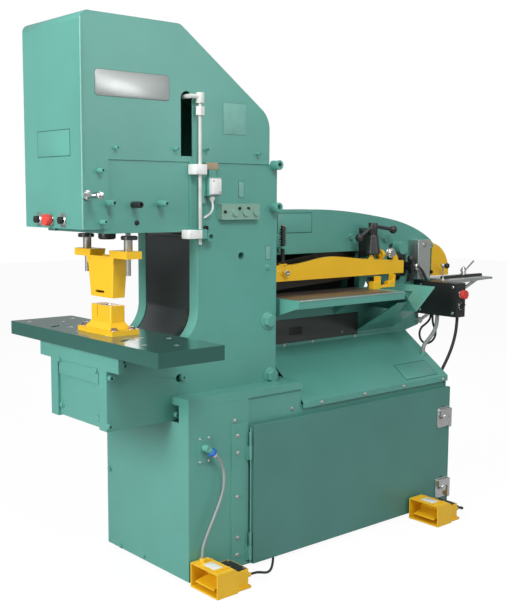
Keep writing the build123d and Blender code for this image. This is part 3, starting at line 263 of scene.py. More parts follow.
# near black green for the painted shadow on the frame under the table
shadeBrown = paint("shadeBrown", (0.035, 0.042, 0.036), 0.3, 0.3)
tanPlate = plastic("tanPlate", (0.36, 0.27, 0.17), 0.5)
switchGrey = plastic("switchGrey", (0.47, 0.50, 0.49), 0.4)
blueRing = plastic("blueRing", (0.02, 0.12, 0.5), 0.35)

# nodes whose finish differs from that of their slot
nodeLooks = {
    "throat_liner": linerBlack,
    "punch_table": darkGreen,
    "upper_shear_blade": oiledSteel,
    "lower_shear_blade": oiledSteel,
    "shear_beam": oiledSteel,
    "limit_switches": looks["machine_paint"],
    "stroke_rod": zincWhite,
    "notcher_table": paleSteel,
    "angle_shear_housing": paleSteel,
    # the door: machine green darkened to about two thirds, painted shade low on the machine; the door has the
    # same paint as the rest
    "cabinet_door": paint("doorEnamel", (0.066, 0.222, 0.19), 0.34),
}

# soft edges on the frame's nodes, cords apart
nodeEdge = {"weld": 0.02, "width": 1.2, "segments": 2, "angle": 40}
cordSlots = ("grey_cable", "cable_rubber")


def softenNode(node, facts):
    weld = node.modifiers.new("weld", "WELD")
    weld.merge_threshold = facts["weld"] * mm
    edge = node.modifiers.new("edge", "BEVEL")
    edge.width = facts["width"] * mm
    edge.segments = facts["segments"]
    edge.limit_method = "ANGLE"
    edge.angle_limit = math.radians(facts["angle"])
    edge.use_clamp_overlap = True
    edge.harden_normals = False


slotOf = {row["node"]: row["material_slot"] for row in frame["record"]["subparts"]}
for name, node in nodes.items():
    node.data.materials.clear()
    node.data.materials.append(nodeLooks.get(name, looks[slotOf[name]]))
    if slotOf[name] not in cordSlots:
        softenNode(node, nodeEdge)
print("paints and metals on the frame's nodes")


# camera at the photograph's angle

cameraFacts = {
    "place": (-2681.3, -2887.1, 1388.6),
    "yaw": 40.73,
    "pitch": 6.65,
    "roll": -0.31,
    "lens": 55.83,
    "reach": 60,  # clipping distance, in metres
}


def addCamera(facts):
    yaw, pitch = math.radians(facts["yaw"]), math.radians(facts["pitch"])
    look = Vector((math.sin(yaw) * math.cos(pitch), math.cos(yaw) * math.cos(pitch), -math.sin(pitch)))
    turn = Matrix.Rotation(math.radians(facts["roll"]), 4, look)
    data = bpy.data.cameras.new("camera")
    data.lens = facts["lens"]
    data.clip_end = facts["reach"]
    camera = bpy.data.objects.new("camera", data)
    camera.location = Vector(facts["place"]) * mm
    camera.rotation_mode = "QUATERNION"
    camera.rotation_quaternion = (turn @ look.to_track_quat("-Z", "Y").to_matrix().to_4x4()).to_quaternion()
    bpy.context.scene.collection.objects.link(camera)
    bpy.context.scene.camera = camera


addCamera(cameraFacts)


# soft studio light and a white floor

def softLamp(name, place, target, size, power, colour=(1, 1, 1)):
    data = bpy.data.lights.new(name, "AREA")
    data.shape = "RECTANGLE"
    data.size, data.size_y = size
    data.energy = power
    data.color = colour
    lamp = bpy.data.objects.new(name, data)
    lamp.location = place
    lamp.rotation_mode = "QUATERNION"
    lamp.rotation_quaternion = (Vector(target) - Vector(place)).to_track_quat("-Z", "Y")
    bpy.context.scene.collection.objects.link(lamp)


lamps = {
    "leftLamp": {"place": (-4.6, -0.5, 2.3), "size": (1.6, 2.6), "power": 170, "target": (-0.8, 0, 1.0)},
    "headLamp": {"place": (-1.6, -3.4, 3.9), "size": (1.6, 1.2), "power": 95, "target": (-0.6, 0, 1.6)},
    "frontLamp": {"place": (1.6, -4.2, 2.4), "size": (2.2, 1.6), "power": 26, "target": (0.2, 0, 0.7)},
    "topLamp": {"place": (0.2, -0.5, 4.6), "size": (3, 2.4), "power": 42, "target": (0, 0, 0.9)},
    "rearLamp": {"place": (2.8, 3.6, 3.0), "size": (2.5, 2.5), "power": 50, "target": (0, 0, 0.9)},
}
for name, facts in lamps.items():
    softLamp(name, facts["place"], facts["target"], facts["size"], facts["power"])

studio = {
    "skyColour": (0.95, 0.98, 1, 1),
    "skyStrength": 0.34,
    "floorSize": 30,
    "floorDark": (0.42, 0.42, 0.42),
    "floorLight": (0.47, 0.47, 0.47),
    "glowStrength": 1.09,  # how white the floor looks to the camera
    "glowShare": 0.86,
}


def addWorld(facts):
    # plain light on the object, pure white behind it for the camera
    world = bpy.context.scene.world or bpy.data.worlds.new("studio")
    bpy.context.scene.world = world
    world.use_nodes = True
    tree = world.node_tree
    tree.nodes.clear()
    path = tree.nodes.new("ShaderNodeLightPath")
    sky = tree.nodes.new("ShaderNodeBackground")
    sky.inputs["Color"].default_value = facts["skyColour"]
    sky.inputs["Strength"].default_value = facts["skyStrength"]
    white = tree.nodes.new("ShaderNodeBackground")
    white.inputs["Color"].default_value = (1, 1, 1, 1)
    white.inputs["Strength"].default_value = 1.0
    mix = tree.nodes.new("ShaderNodeMixShader")
    output = tree.nodes.new("ShaderNodeOutputWorld")
    tree.links.new(path.outputs["Is Camera Ray"], mix.inputs["Fac"])
    tree.links.new(sky.outputs["Background"], mix.inputs[1])
    tree.links.new(white.outputs["Background"], mix.inputs[2])
    tree.links.new(mix.outputs["Shader"], output.inputs["Surface"])


def addFloor(facts):
    # pale floor that looks white to the camera and keeps a faint shadow
    deselectAll()
    bpy.ops.mesh.primitive_plane_add(size=facts["floorSize"], location=(0, 0, 0))
    floor = bpy.context.object
    floor.name = "floor"
    floorLook = newMaterial("paleFloor", facts["floorLight"], 0.7)
    tree = floorLook.node_tree
    varyColour(floorLook, addNoise(tree, 1.5, 4), facts["floorDark"], facts["floorLight"])
    glow = tree.nodes.new("ShaderNodeEmission")
    glow.inputs["Strength"].default_value = facts["glowStrength"]
    rays = tree.nodes.new("ShaderNodeLightPath")
    share = tree.nodes.new("ShaderNodeMath")
    share.operation = "MULTIPLY"
    share.inputs[1].default_value = facts["glowShare"]
    mix = tree.nodes.new("ShaderNodeMixShader")
    tree.links.new(rays.outputs["Is Camera Ray"], share.inputs[0])
    tree.links.new(share.outputs["Value"], mix.inputs["Fac"])
    tree.links.new(tree.nodes["Principled BSDF"].outputs["BSDF"], mix.inputs[1])
    tree.links.new(glow.outputs["Emission"], mix.inputs[2])
    tree.links.new(mix.outputs["Shader"], tree.nodes["Material Output"].inputs["Surface"])
    floor.data.materials.append(floorLook)


addWorld(studio)
addFloor(studio)
bpy.context.scene.view_settings.view_transform = "Standard"
print("camera, lamps and floor")


# cords, on the route points of the CAD tubes

cordFacts = {
    "pedalCordFront": {
        "node": "pedal_cord_front",
        "radius": 5.2,
        "material": "grey_cable",
        "points": [
            (-636.2, -299.5, 477.1), (-614.5, -299.5, 456.4), (-595, -300, 431), (-587, -300, 385),
            (-590, -300, 340), (-607, -300, 297), (-628, -300, 255), (-651, -300, 213),
            (-673, -300, 172), (-688, -300, 134), (-688, -300, 104),
        ],
    },
    "pedalCordRear": {
        "node": "pedal_cord_rear",
        "radius": 4.6,
        "material": "cable_rubber",
        "points": [
            (-547, -396, 38), (-520, -396, 38), (-494, -394, 31), (-467, -387, 20), (-440, -374, 11),
            (-413, -357, 6), (-387, -336, 4.7), (-361, -311, 4.8), (-336, -286, 4.7), (-312, -259, 4.8),
        ],
    },
    "pedalCordFar": {
        "node": "pedal_cord_far",
        "radius": 4.6,
        "material": "cable_rubber",
        "points": [
            (619, -423, 38), (643, -423, 38), (667, -416, 29), (689, -400, 16), (708, -377, 7),
            (724, -349, 4.8), (736, -318, 4.7), (740, -286, 4.8), (733, -259, 4.7), (716, -238, 4.8),
        ],
    },
    "boxConduit": {
        "node": "box_conduit",
        "radius": 9.0,
        "material": "grey_cable",
        "points": [
            (791, -150, 847.7), (791, -150, 815), (778, -151, 783), (752, -152, 757),
            (723, -153, 737), (689, -155, 716), (689, -155, 688),
        ],
    },
    "boxCable": {
        "node": "box_cable",
        "radius": 7.0,
        "material": "cable_rubber",
        "points": [
            (824, -238, 847.7), (824, -236, 800), (818, -232, 752), (806, -226, 704), (789, -218, 658),
            (768, -209, 614), (749, -203, 577), (740, -203, 560), (723.8, -203, 560),
        ],
    },
    "boxLoop": {
        "node": "box_loop",
        "radius": 5.0,
        "material": "cable_rubber",
        "points": [
            (800, -116, 847.7), (800, -116, 815), (815, -114, 788), (834, -112, 761), (826, -110, 731),
            (798, -107, 713), (764, -104, 712), (735, -101, 733), (728, -98, 765), (747, -95, 790),
            (778, -92, 800), (806, -89, 813), (822, -88, 830), (822, -88, 847.7),
        ],
    },
}


def routeLength(curve):
    probe = bpy.data.objects.new("probe", curve.copy())
    probe.data.bevel_depth = 0
    bpy.context.scene.collection.objects.link(probe)
    seen = probe.evaluated_get(bpy.context.evaluated_depsgraph_get())
    line = bpy.data.meshes.new_from_object(seen)
    ends = [[line.vertices[number].co for number in edge.vertices] for edge in line.edges]
    total = sum((b - a).length for a, b in ends)
    bpy.data.objects.remove(probe)
    return total


def addCord(name, facts):
    curve = bpy.data.curves.new(name, "CURVE")
    curve.dimensions = "3D"
    spline = curve.splines.new("NURBS")
    points = [Vector(p) * mm for p in facts["points"]]
    spline.points.add(len(points) - 1)
    for point, co in zip(spline.points, points):
        point.co = (*co, 1)
    spline.order_u = 3
    spline.use_endpoint_u = True
    spline.resolution_u = 10
    curve.bevel_depth = facts["radius"] * mm
    curve.bevel_resolution = 5
    curve.use_fill_caps = True
    cord = bpy.data.objects.new(name, curve)
    bpy.context.scene.collection.objects.link(cord)
    curve.materials.append(looks[facts["material"]])
    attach(cord, "machine")
    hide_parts(facts["node"])
    bpy.context.view_layer.update()
    routeLength(curve)


for name, facts in cordFacts.items():
    addCord(name, facts)
print("cords")


# fittings that repeat are modelled once at the origin, facing +Z, and copied

def turned(rings, vertices=28):
    # turned part: a filled circle, extruded and scaled through (radius, height) rings
    deselectAll()
    bpy.ops.mesh.primitive_circle_add(vertices=vertices, radius=rings[0][0] * mm, fill_type="NGON")
    piece = makeActive(bpy.context.object)
    bpy.ops.object.mode_set(mode="EDIT")
    bpy.ops.mesh.select_all(action="SELECT")
    bpy.ops.transform.translate(value=(0, 0, rings[0][1] * mm))
    for (oldRadius, oldHeight), (radius, height) in zip(rings, rings[1:]):
        bpy.ops.mesh.extrude_region_move(
            TRANSFORM_OT_translate={"value": (0, 0, (height - oldHeight) * mm)}
        )
        bpy.ops.transform.resize(value=(radius / oldRadius, radius / oldRadius, 1))
    bpy.ops.mesh.select_all(action="SELECT")
    bpy.ops.mesh.normals_make_consistent(inside=False)
    bpy.ops.object.mode_set(mode="OBJECT")
    return piece


def cutAway(piece, cutter):
    modifier = piece.modifiers.new("cut", "BOOLEAN")
    modifier.operation = "DIFFERENCE"
    modifier.object = cutter
    applyModifiers(piece)
    bpy.data.objects.remove(cutter)
    return makeActive(piece)


def placed(piece, at, facing, size=1.0):
    # turns +Z of the piece to a direction and moves it, inside its mesh
    turn = Vector(facing).to_track_quat("Z", "Y").to_matrix().to_4x4()
    bpy.context.view_layer.update()
    piece.data.transform(piece.matrix_world)
    piece.matrix_world = Matrix.Identity(4)
    piece.data.transform(Matrix.Translation(Vector(at) * mm) @ turn @ Matrix.Scale(size, 4))
    return piece


def scatter(template, name, places, facing, body, material, size=1.0):
    # one copy of a template for each place
    for number, at in enumerate(places, 1):
        twin = template.copy()
        twin.data = template.data.copy()
        bpy.context.scene.collection.objects.link(twin)
        placed(twin, at, facing, size)
        finishPiece(twin, f"{name}{number}", body, material)


def bentRod(name, points, radius):
    # round rod along a route, as a mesh
    curve = bpy.data.curves.new(name, "CURVE")
    curve.dimensions = "3D"
    spline = curve.splines.new("NURBS")
    spline.points.add(len(points) - 1)
    for point, place in zip(spline.points, points):
        point.co = (*(Vector(place) * mm), 1)
    spline.order_u = 3
    spline.use_endpoint_u = True
    spline.resolution_u = 6
    curve.bevel_depth = radius * mm
    curve.bevel_resolution = 4
    curve.use_fill_caps = True
    rod = bpy.data.objects.new(name, curve)
    bpy.context.scene.collection.objects.link(rod)
    makeActive(rod)
    bpy.ops.object.convert(target="MESH")
    return bpy.context.object


def roundedPlate(width, height, thickness, corner, edge=0.4):
    # flat plate on the origin, facing +Z, with round corners and a soft front edge
    plate = addBlock((0, 0, thickness / 2), (width, height, thickness))
    bpy.ops.object.transform_apply(location=True)
    bpy.ops.object.mode_set(mode="EDIT")
    bpy.ops.mesh.select_mode(type="EDGE")
    bpy.ops.mesh.select_all(action="DESELECT")
    shape = bmesh.from_edit_mesh(plate.data)
    for side in shape.edges:
        run = side.verts[0].co - side.verts[1].co
        side.select_set(abs(run.z) > 0.9 * run.length)
    bmesh.update_edit_mesh(plate.data)
    bpy.ops.mesh.bevel(offset=corner * mm, segments=5, affect="EDGES")
    bpy.ops.object.mode_set(mode="OBJECT")
    bevelEdges(plate, edge, 2, 60)
    return plate


def laidPlate(plate, at, normal):
    # plate laid on a face; on a vertical face its height stays upright
    if normal not in (near, left):
        return placed(plate, at, normal)
    turn = Matrix.Rotation(math.radians(90), 4, "X")
    if normal == left:
        turn = Matrix.Rotation(math.radians(-90), 4, "Z") @ turn
    plate.data.transform(Matrix.Translation(Vector(at) * mm) @ turn)
    return plate


def addPlate(name, facts, material):
    # single plate with the machine, from its size, corner, edge, place and normal
    plate = roundedPlate(*facts["size"], facts["corner"], facts["edge"])
    laidPlate(plate, facts["at"], facts["normal"])
    return finishPiece(plate, name, "machine", material)


def addSoftBlock(name, at, size, radius, segments, material, slotName):
    # block with rounded edges
    block = addBlock(at, size)
    bpy.ops.object.transform_apply(location=True)
    bevelEdges(block, radius, segments)
    return finishPiece(block, name, "machine", material)


def framedLabel(name, facts):
    # bare label: a dark rim plate with a pale face on it
    layers = (
        ("Rim", facts["rim"], 0.6, labelLine),
        ("Face", 0, 1.0, facts["look"]),
    )
    for part, grow, thickness, material in layers:
        width, height = facts["size"]
        plate = roundedPlate(width + 2 * grow, height + 2 * grow, thickness, facts["corner"], 0.2)
        laidPlate(plate, facts["at"], facts["normal"])
        finishPiece(plate, name + part, "machine", material)


# templates: outlines turned as (radius, height) rings
socketHead = turned([(8.6, -0.5), (8.6, 9.6), (7.9, 10.6)])
cutAway(socketHead, placed(turned([(4.4, 0), (4.4, 8)], 6), (0, 0, 5), (0, 0, 1)))
hexHead = joinPieces([
    turned([(15, -0.5), (15, 2), (14, 2.6)]),
    turned([(11.4, 2.2), (11.4, 8.8), (9.6, 10)], 6),
])
panHead = turned([(7, -0.5), (7, 1), (6.4, 2.6), (4.6, 3.9), (2.2, 4.4)])
cutAway(panHead, addBlock((0, 0, 4.2), (16, 1.5, 2.6)))
boss = turned([(16, -0.5), (16, 31), (14.6, 33), (8.4, 33), (8.0, 20)])
pin = turned([(6, -0.5), (6, 20.5), (5.2, 22), (3, 22), (2.7, 16)])
plug = turned([(11, -0.5), (11, 47), (9.8, 49.5), (5.4, 49.5), (5.0, 38)])
holeRim = turned([(10.2, -0.5), (10.2, 0.25), (9.6, 0.5), (7.3, 0.5), (6.7, -3)])
print("templates of screws, bolts and bosses")


# faces that the small pieces sit on, read from the frame

def face(nodeName, axis, side=min):
    # outermost place of a node along an axis, in mm
    node = nodes[nodeName]
    return round(side((node.matrix_world @ corner.co)[axis] for corner in node.data.vertices) / mm, 1)


coverFront = face("head_cover", 0)
coverNear = face("head_cover", 1)
plateNear = face("near_side_plate", 1)
frameNear = face("lower_shear_blade", 1)  # the blade lies flush in the frame
barNear = face("hold_down_bar", 1)
housingNear = face("angle_shear_housing", 1)
notcherNear = face("notcher_table", 1)
boxLeft = face("control_box", 0)
boxNear = face("control_box", 1)
baseNear = face("base_top_plate", 1)
hoodNear = face("sloped_hood", 1)
socketNear = hoodNear  # the cable socket's plate stands level with the edge of the hood
doorNear = face("cabinet_door", 1)
latchNear = face("door_latch_upper", 1)
bedTop = face("punch_table", 2, max)
tableTop = face("shear_table", 2, max)
print("faces read from the frame")


# screws and bolts, by the face they sit on

fasteners = {
    "coverPin": (pin, near, "machine_paint", looks["machine_paint"], 1.0, [
        (-955, coverNear, 1544), (-711, coverNear, 1548), (-579, coverNear, 1551),
        (-334, coverNear, 1543),
    ]),
    "plateSocketScrew": (socketHead, near, "machine_paint", looks["machine_paint"], 1.3, [
        (-928, plateNear, 810), (-981, plateNear, 773), (-989, plateNear, 605), (-679, plateNear, 739),
        (-706, plateNear, 607),
    ]),
    "plateHexBolt": (hexHead, near, "machine_paint", looks["machine_paint"], 2.3, [
        (-269, plateNear, 912), (-254, plateNear, 695),
    ]),
    "coverPinLarge": (pin, near, "machine_paint", looks["machine_paint"], 1.4, [
        (-1018, coverNear, 1468), (-1010, coverNear, 1300),
    ]),
    "plateSmallBolt": (hexHead, near, "machine_paint", looks["machine_paint"], 0.8, [
        (-273, plateNear, 1117),
    ]),
    "frameBoss": (boss, near, "machine_paint", looks["machine_paint"], 1.15, [
        (-246, plateNear, 1504), (-247, plateNear, 1345), (-576, plateNear, 1242),
    ]),
    "panelScrewHigh": (hexHead, left, "machine_paint", looks["machine_paint"], 0.9, [
        (-993.5, 146, 797), (-993.5, -106, 792),
    ]),
    "panelScrewLow": (hexHead, left, "machine_paint", looks["machine_paint"], 0.9, [
        (-985.5, 146, 629), (-985.5, -107, 623),
    ]),
    "endScrew": (hexHead, left, "machine_paint", looks["machine_paint"], 0.85, [
        (-723.5, 174, 24), (-723.5, 14, 30), (-723.5, 248, 316),
    ]),
    "hingeStripScrew": (panHead, near, "ground_steel", looks["ground_steel"], 1.2, [
        (-502, -272, 514), (-502, -272, 450), (-502, -272, 284), (-502, -272, 128), (-502, -272, 62),
    ]),
    "columnScrew": (panHead, near, "ground_steel", looks["ground_steel"], 1.2, [
        (-512, baseNear, 572), (-220, -257.5, 574),
    ]),
    "hoodScrew": (panHead, near, "ground_steel", looks["ground_steel"], 1.2, [
        (-69, hoodNear, 580), (180, hoodNear, 580), (426, hoodNear, 580), (692, hoodNear, 580),
    ]),
    "hoodTopScrew": (panHead, near, "ground_steel", looks["ground_steel"], 1.1, [
        (-47, -21.8, 774.5), (117, -21.8, 774.5), (378, -21.8, 774.5),
    ]),
    "socketPlateScrew": (panHead, near, "bright_steel", looks["bright_steel"], 0.75, [
        (-677, socketNear, 531), (-637, socketNear, 531), (-677, socketNear, 447),
        (-637, socketNear, 447),
    ]),
    "shearFrameBolt": (hexHead, near, "machine_paint", looks["machine_paint"], 1.1, [
        (-77, frameNear, 1172), (347, frameNear, 1212), (569, frameNear, 1196), (-190, frameNear, 1290),
        (620, frameNear, 880),
    ]),
    "angleStationBolt": (socketHead, near, "black_paint", boltBlack, 1.4, [
        (660, frameNear, 1098), (622, frameNear, 1070), (650, frameNear, 1020), (600, frameNear, 1110),
    ]),
    "housingBolt": (hexHead, near, "ground_steel", looks["ground_steel"], 0.8, [
        (776, housingNear, 1168), (776, housingNear, 1034),
    ]),
    "boxScrew": (panHead, left, "bright_steel", looks["bright_steel"], 1.0, [
        (boxLeft, -246, 984), (boxLeft, -246, 866), (boxLeft, -60, 984), (boxLeft, -60, 866),
    ]),
    "dieBolt": (hexHead, up, "ground_steel", warmSteel, 0.95, [
        (-916, -98, 920), (-844, -98, 920), (-916, 98, 920), (-844, 98, 920),
    ]),
    "tableHoleRim": (holeRim, up, "ground_steel", looks["ground_steel"], 1.0, [
        (-967, 430, bedTop), (-866, 355, bedTop), (-790, 413, bedTop), (-919, 200, bedTop),
        (-860, 228, bedTop), (-950, 90, bedTop), (-793, 300, bedTop), (-944, -90, bedTop),
        (-865, -191, bedTop), (-800, -260, bedTop), (-950, -330, bedTop), (-870, -400, bedTop),
    ]),
    "troughRivet": (panHead, near, "machine_paint", looks["machine_paint"], 0.9, [
        (300, -17.8, 800), (560, -17.8, 830),
    ]),
    "anchorBolt": (hexHead, up, "ground_steel", looks["ground_steel"], 1.2, [
        (-650, -210, 22), (650, -210, 22), (-650, 210, 22), (650, 210, 22),
    ]),
}
for name, (template, facing, slotName, material, size, places) in fasteners.items():
    scatter(template, name, places, facing, "machine", material, size)
print("screws and bolts")


# bare plates and labels where the photograph shows printed ones

labels = {
    "namePlate": {
        "at": (-881, coverNear, 1752), "size": (294, 84), "rim": 1, "corner": 12,
        "normal": near, "look": platePale, "slot": "ground_steel",
    },
    "frontLabel": {
        "at": (coverFront, 9, 1559), "size": (216, 84), "rim": 2.5, "corner": 2,
        "normal": left, "look": looks["machine_paint"], "slot": "machine_paint",
    },
    "sideLabel": {
        "at": (-441, coverNear, 1665), "size": (108, 112), "rim": 0.8, "corner": 2,
        "normal": near, "look": labelPale, "slot": "machine_paint",
    },
    "switchLabel": {
        "at": (-405, plateNear, 1411), "size": (24, 58), "rim": 1.6, "corner": 2,
        "normal": near, "look": labelPale, "slot": "machine_paint",
    },
    "plateLabel": {
        "at": (-270, plateNear, 1172), "size": (25, 50), "rim": 1.6, "corner": 2,
        "normal": near, "look": labelPale, "slot": "machine_paint",
    },
    "frameLabel": {
        "at": (12, frameNear, 1278), "size": (190, 78), "rim": 3, "corner": 2,
        "normal": near, "look": looks["machine_paint"], "slot": "machine_paint",
    },
    "farLegend": {
        "at": (coverFront, 118, 1303), "size": (34, 46), "rim": 0.5, "corner": 3,
        "normal": left, "look": platePale, "slot": "ground_steel",
    },
    "nearLegend": {
        "at": (coverFront, -49, 1303), "size": (34, 46), "rim": 0.5, "corner": 3,
        "normal": left, "look": platePale, "slot": "ground_steel",
    },
    "hoodLabel": {
        "at": (560, -221, 628.9), "size": (204, 88), "rim": 3, "corner": 3,
        "normal": (0, -0.7056, 1), "look": looks["machine_paint"], "slot": "machine_paint",
    },
}
for name, facts in labels.items():
    framedLabel(name, facts)
print("bare plates and labels")


# rings round the push buttons and the selector

bezels = {
    "headStopBezel": {"at": (coverFront - 0.9, 32, 1303), "facing": left, "radius": 17.5},
    "headFarBezel": {"at": (coverFront - 0.9, 118, 1303), "facing": left, "radius": 15},
    "headNearBezel": {"at": (coverFront - 0.9, -49, 1303), "facing": left, "radius": 15},
    "boxStopBezel": {"at": (807, boxNear, 952), "facing": near, "radius": 17.5},
    "selectorBezel": {"at": (807, boxNear, 898), "facing": near, "radius": 16},
}


def addBezel(name, facts):
    radius = facts["radius"]
    ring = turned([(radius, -0.5), (radius, 2.6), (radius - 1.6, 4), (12.4, 4), (12.2, 2)], 36)
    cutAway(ring, addRod((0, 0, -4), (0, 0, 8), 11.8, 36))
    placed(ring, facts["at"], facts["facing"])
    finishPiece(ring, name, "machine", looks["bright_steel"])


for name, facts in bezels.items():
    addBezel(name, facts)
print("button rings")


# knob, plunger and plugs beside the throat

throatFittings = {
    "knob": (-882, plateNear, 1356),
    "plugs": [(-985, plateNear, 1362), (-775, plateNear, 1360)],
    "washerScrew": (-868, plateNear, 1295),
    "plunger": (-1062, coverNear, 1387),
    "plungerRings": [
        (15, -0.5), (17, 1), (17, 8), (10.5, 13), (9.5, 18), (9.5, 62), (12, 66), (12.5, 84), (10, 88),
        (5, 89),
    ],
}


def addThroatFittings(facts):
    scatter(plug, "throatKnob", [facts["knob"]], near, "machine", looks["black_plastic"])
    scatter(plug, "throatPlug", facts["plugs"], near, "machine", looks["machine_paint"])
    scatter(panHead, "washerScrew", [facts["washerScrew"]], near, "machine", boltBlack, 1.3)
    plunger = placed(turned(facts["plungerRings"], 36), facts["plunger"], near)
    finishPiece(plunger, "throatPlunger", "machine", looks["bright_steel"])


addThroatFittings(throatFittings)
print("fittings beside the throat")


# limit switch on the near plate: body, lid, gland with its cable, rod guides and lever

switchFacts = {
    "body": (-562, -200, 1420),
    "size": (50, 42, 60),
    "lid": {"size": (42, 52, 2), "corner": 4, "edge": 0.6, "at": (-562, -221, 1420), "normal": near},
    "lidScrews": [(-577, -222.8, 1440), (-547, -222.8, 1400)],
    "glandAt": (-562, -196, 1392),
    "glandRings": [(9, 0), (9, 8), (11, 8), (11, 16), (7, 22), (6, 26)],
    "cable": [
        (-562, -196, 1386), (-562, -197, 1366), (-560, -200, 1340), (-572, -190, 1318),
        (-580, -171, 1308),
    ],
    "cableRadius": 4,
    "guides": [((-627, -196, 1479), (52, 46, 36)), ((-652, -196, 1252), (60, 46, 32))],
    "guideBolts": [(-585, plateNear, 1252), (-574, plateNear, 1272)],
    "bracket": {"size": (24, 130, 5), "corner": 3, "edge": 0.4, "at": (-590, -176.5, 1425), "normal": near},
    "lever": ((-566, -199, 1492), (56, 6, 25)),
}
selectorScrews = [(-502, -194.5, 1330), (-434, -194.5, 1342), (-392, -194.5, 1342), (-345, -194.5, 1330)]


def addLimitSwitch(facts):
    white = looks["white_plastic"]
    addSoftBlock("switchBody", facts["body"], facts["size"], 4, 4, switchGrey, "white_plastic")
    addPlate("switchLid", facts["lid"], white)
    scatter(
        panHead, "switchScrew", facts["lidScrews"], near, "machine", looks["ground_steel"],
        0.6,
    )
    gland = placed(turned(facts["glandRings"], 12), facts["glandAt"], (0, 0, -1))
    finishPiece(gland, "switchGland", "machine", white)
    wire = bentRod("switchWire", facts["cable"], facts["cableRadius"])
    finishPiece(wire, "switchWire", "machine", white)
    for number, (at, size) in enumerate(facts["guides"], 1):
        addSoftBlock(f"rodGuide{number}", at, size, 3, 3, white, "white_plastic")
    addPlate("switchBracket", facts["bracket"], labelPale)
    addSoftBlock("switchLever", *facts["lever"], 2.4, 4, tanPlate, "white_plastic")
    scatter(socketHead, "guideBolt", facts["guideBolts"], near, "machine", boltBlack)


addLimitSwitch(switchFacts)
scatter(socketHead, "selectorScrew", selectorScrews, near, "machine", boltBlack, 0.62)
print("limit switch")


# head: pale rod of painted highlight along the folded corner, collars over the stripper shafts, dark plate of
# painted shade on the underside

headFacts = {
    "bead": [
        (-1077, -172, 1277), (-1079, -174, 1300), (-1079, -174, 1600), (-1079, -174, 1930),
        (-1077, -172, 1952),
    ],
    "beadRadius": 3.2,
    "collars": {"Near": (-880, -142, 1236), "Far": (-880, 142, 1236)},
    "collarRings": [(27, 0), (29, 2), (29, 12), (24, 14), (16, 14)],
    "underside": {"size": (270, 376, 2), "corner": 8, "edge": 0.4, "at": (-912, 20, 1283), "normal": up},
}


def addHeadDetails(facts):
    # the pale corner rod is a painted highlight, the dark underside plate is painted shade
    bead = bentRod("cornerBead", facts["bead"], facts["beadRadius"])
    finishPiece(bead, "cornerBead", "machine", labelPale)
    for side, at in facts["collars"].items():
        collar = placed(turned(facts["collarRings"], 36), at, up)
        finishPiece(collar, f"shaftCollar{side}", "machine", looks["black_paint"])
    addPlate("headUnderside", facts["underside"], paintedShadeBlack)


addHeadDetails(headFacts)
print("head details")


# shear station: hold-down stud and spring, dark plate of painted shade behind the window, wear plate, bolts,
# pale strip of painted highlight on the table's edge, dark plate of painted shadow under the table and a bare
# plate

shearFacts = {
    "spring": {"at": (-112, -80, 1191.4), "radius": 12.5, "wire": 2.2, "turns": 7, "height": 70, "steps": 12},
    "stud": {"at": (-112, -80, 0), "rings": [(8.0, 1112), (8.25, 1113), (8.25, 1270), (7.4, 1272.4)]},
    "guard": {"left": -214, "right": 540, "high": (94.5, 1160), "low": (132, 900), "thickness": 3},
    "guardLip": (0, 20, -6),
    "barBolts": [(-117, barNear, 1083)],
    "rollerBolts": [(515, barNear, 1141)],
    "wearPlate": {
        "size": (560, 236, 1.6), "corner": 3, "edge": 0.3, "at": (84, -143, tableTop), "normal": up,
    },
    # thin pale strip along the table's front edge: painted highlight
    "lip": ((106, -273.5, 988), (600, 3, 4)),
    # dark plate on the frame under the table: painted shadow
    "shade": {"size": (540, 100, 1.2), "corner": 4, "edge": 0.4, "at": (130, -17.9, 830), "normal": near},
    "plate": {"size": (72, 34, 1.2), "corner": 3, "edge": 0.3, "at": (22, -19.3, 828), "normal": near},
}


def addSpring(facts):
    # a loop works out the helix
    x, y, z = facts["at"]
    count = facts["turns"] * facts["steps"]
    points = []
    for step in range(count + 1):
        angle = 2 * math.pi * step / facts["steps"]
        across = facts["radius"] * math.cos(angle)
        along = facts["radius"] * math.sin(angle)
        points.append((x + across, y + along, z + facts["height"] * step / count))
    coil = bentRod("holdDownSpring", points, facts["wire"])
    finishPiece(coil, "holdDownSpring", "machine", looks["black_paint"])


def addWindowShade(facts, lip):
    # dark folded plate behind the shear window, sloping away and down: painted shade seen through the window
    (yHigh, zHigh), (yLow, zLow) = facts["high"], facts["low"]
    centre = ((facts["left"] + facts["right"]) / 2, yHigh + 2, (zHigh + zLow) / 2)
    plate = addBlock(centre, (facts["right"] - facts["left"], facts["thickness"], zHigh - zLow))
    bpy.ops.object.transform_apply(location=True)
    selectFaces(plate, lambda centre, normal: normal.z < -0.9)
    bpy.ops.transform.translate(value=(0, (yLow - yHigh) * mm, 0))
    bpy.ops.mesh.extrude_region_move(TRANSFORM_OT_translate={"value": Vector(lip) * mm})
    bpy.ops.object.mode_set(mode="OBJECT")
    bevelEdges(plate, 1, 2)
    finishPiece(plate, "rearGuard", "machine", paintedShadeBlack)


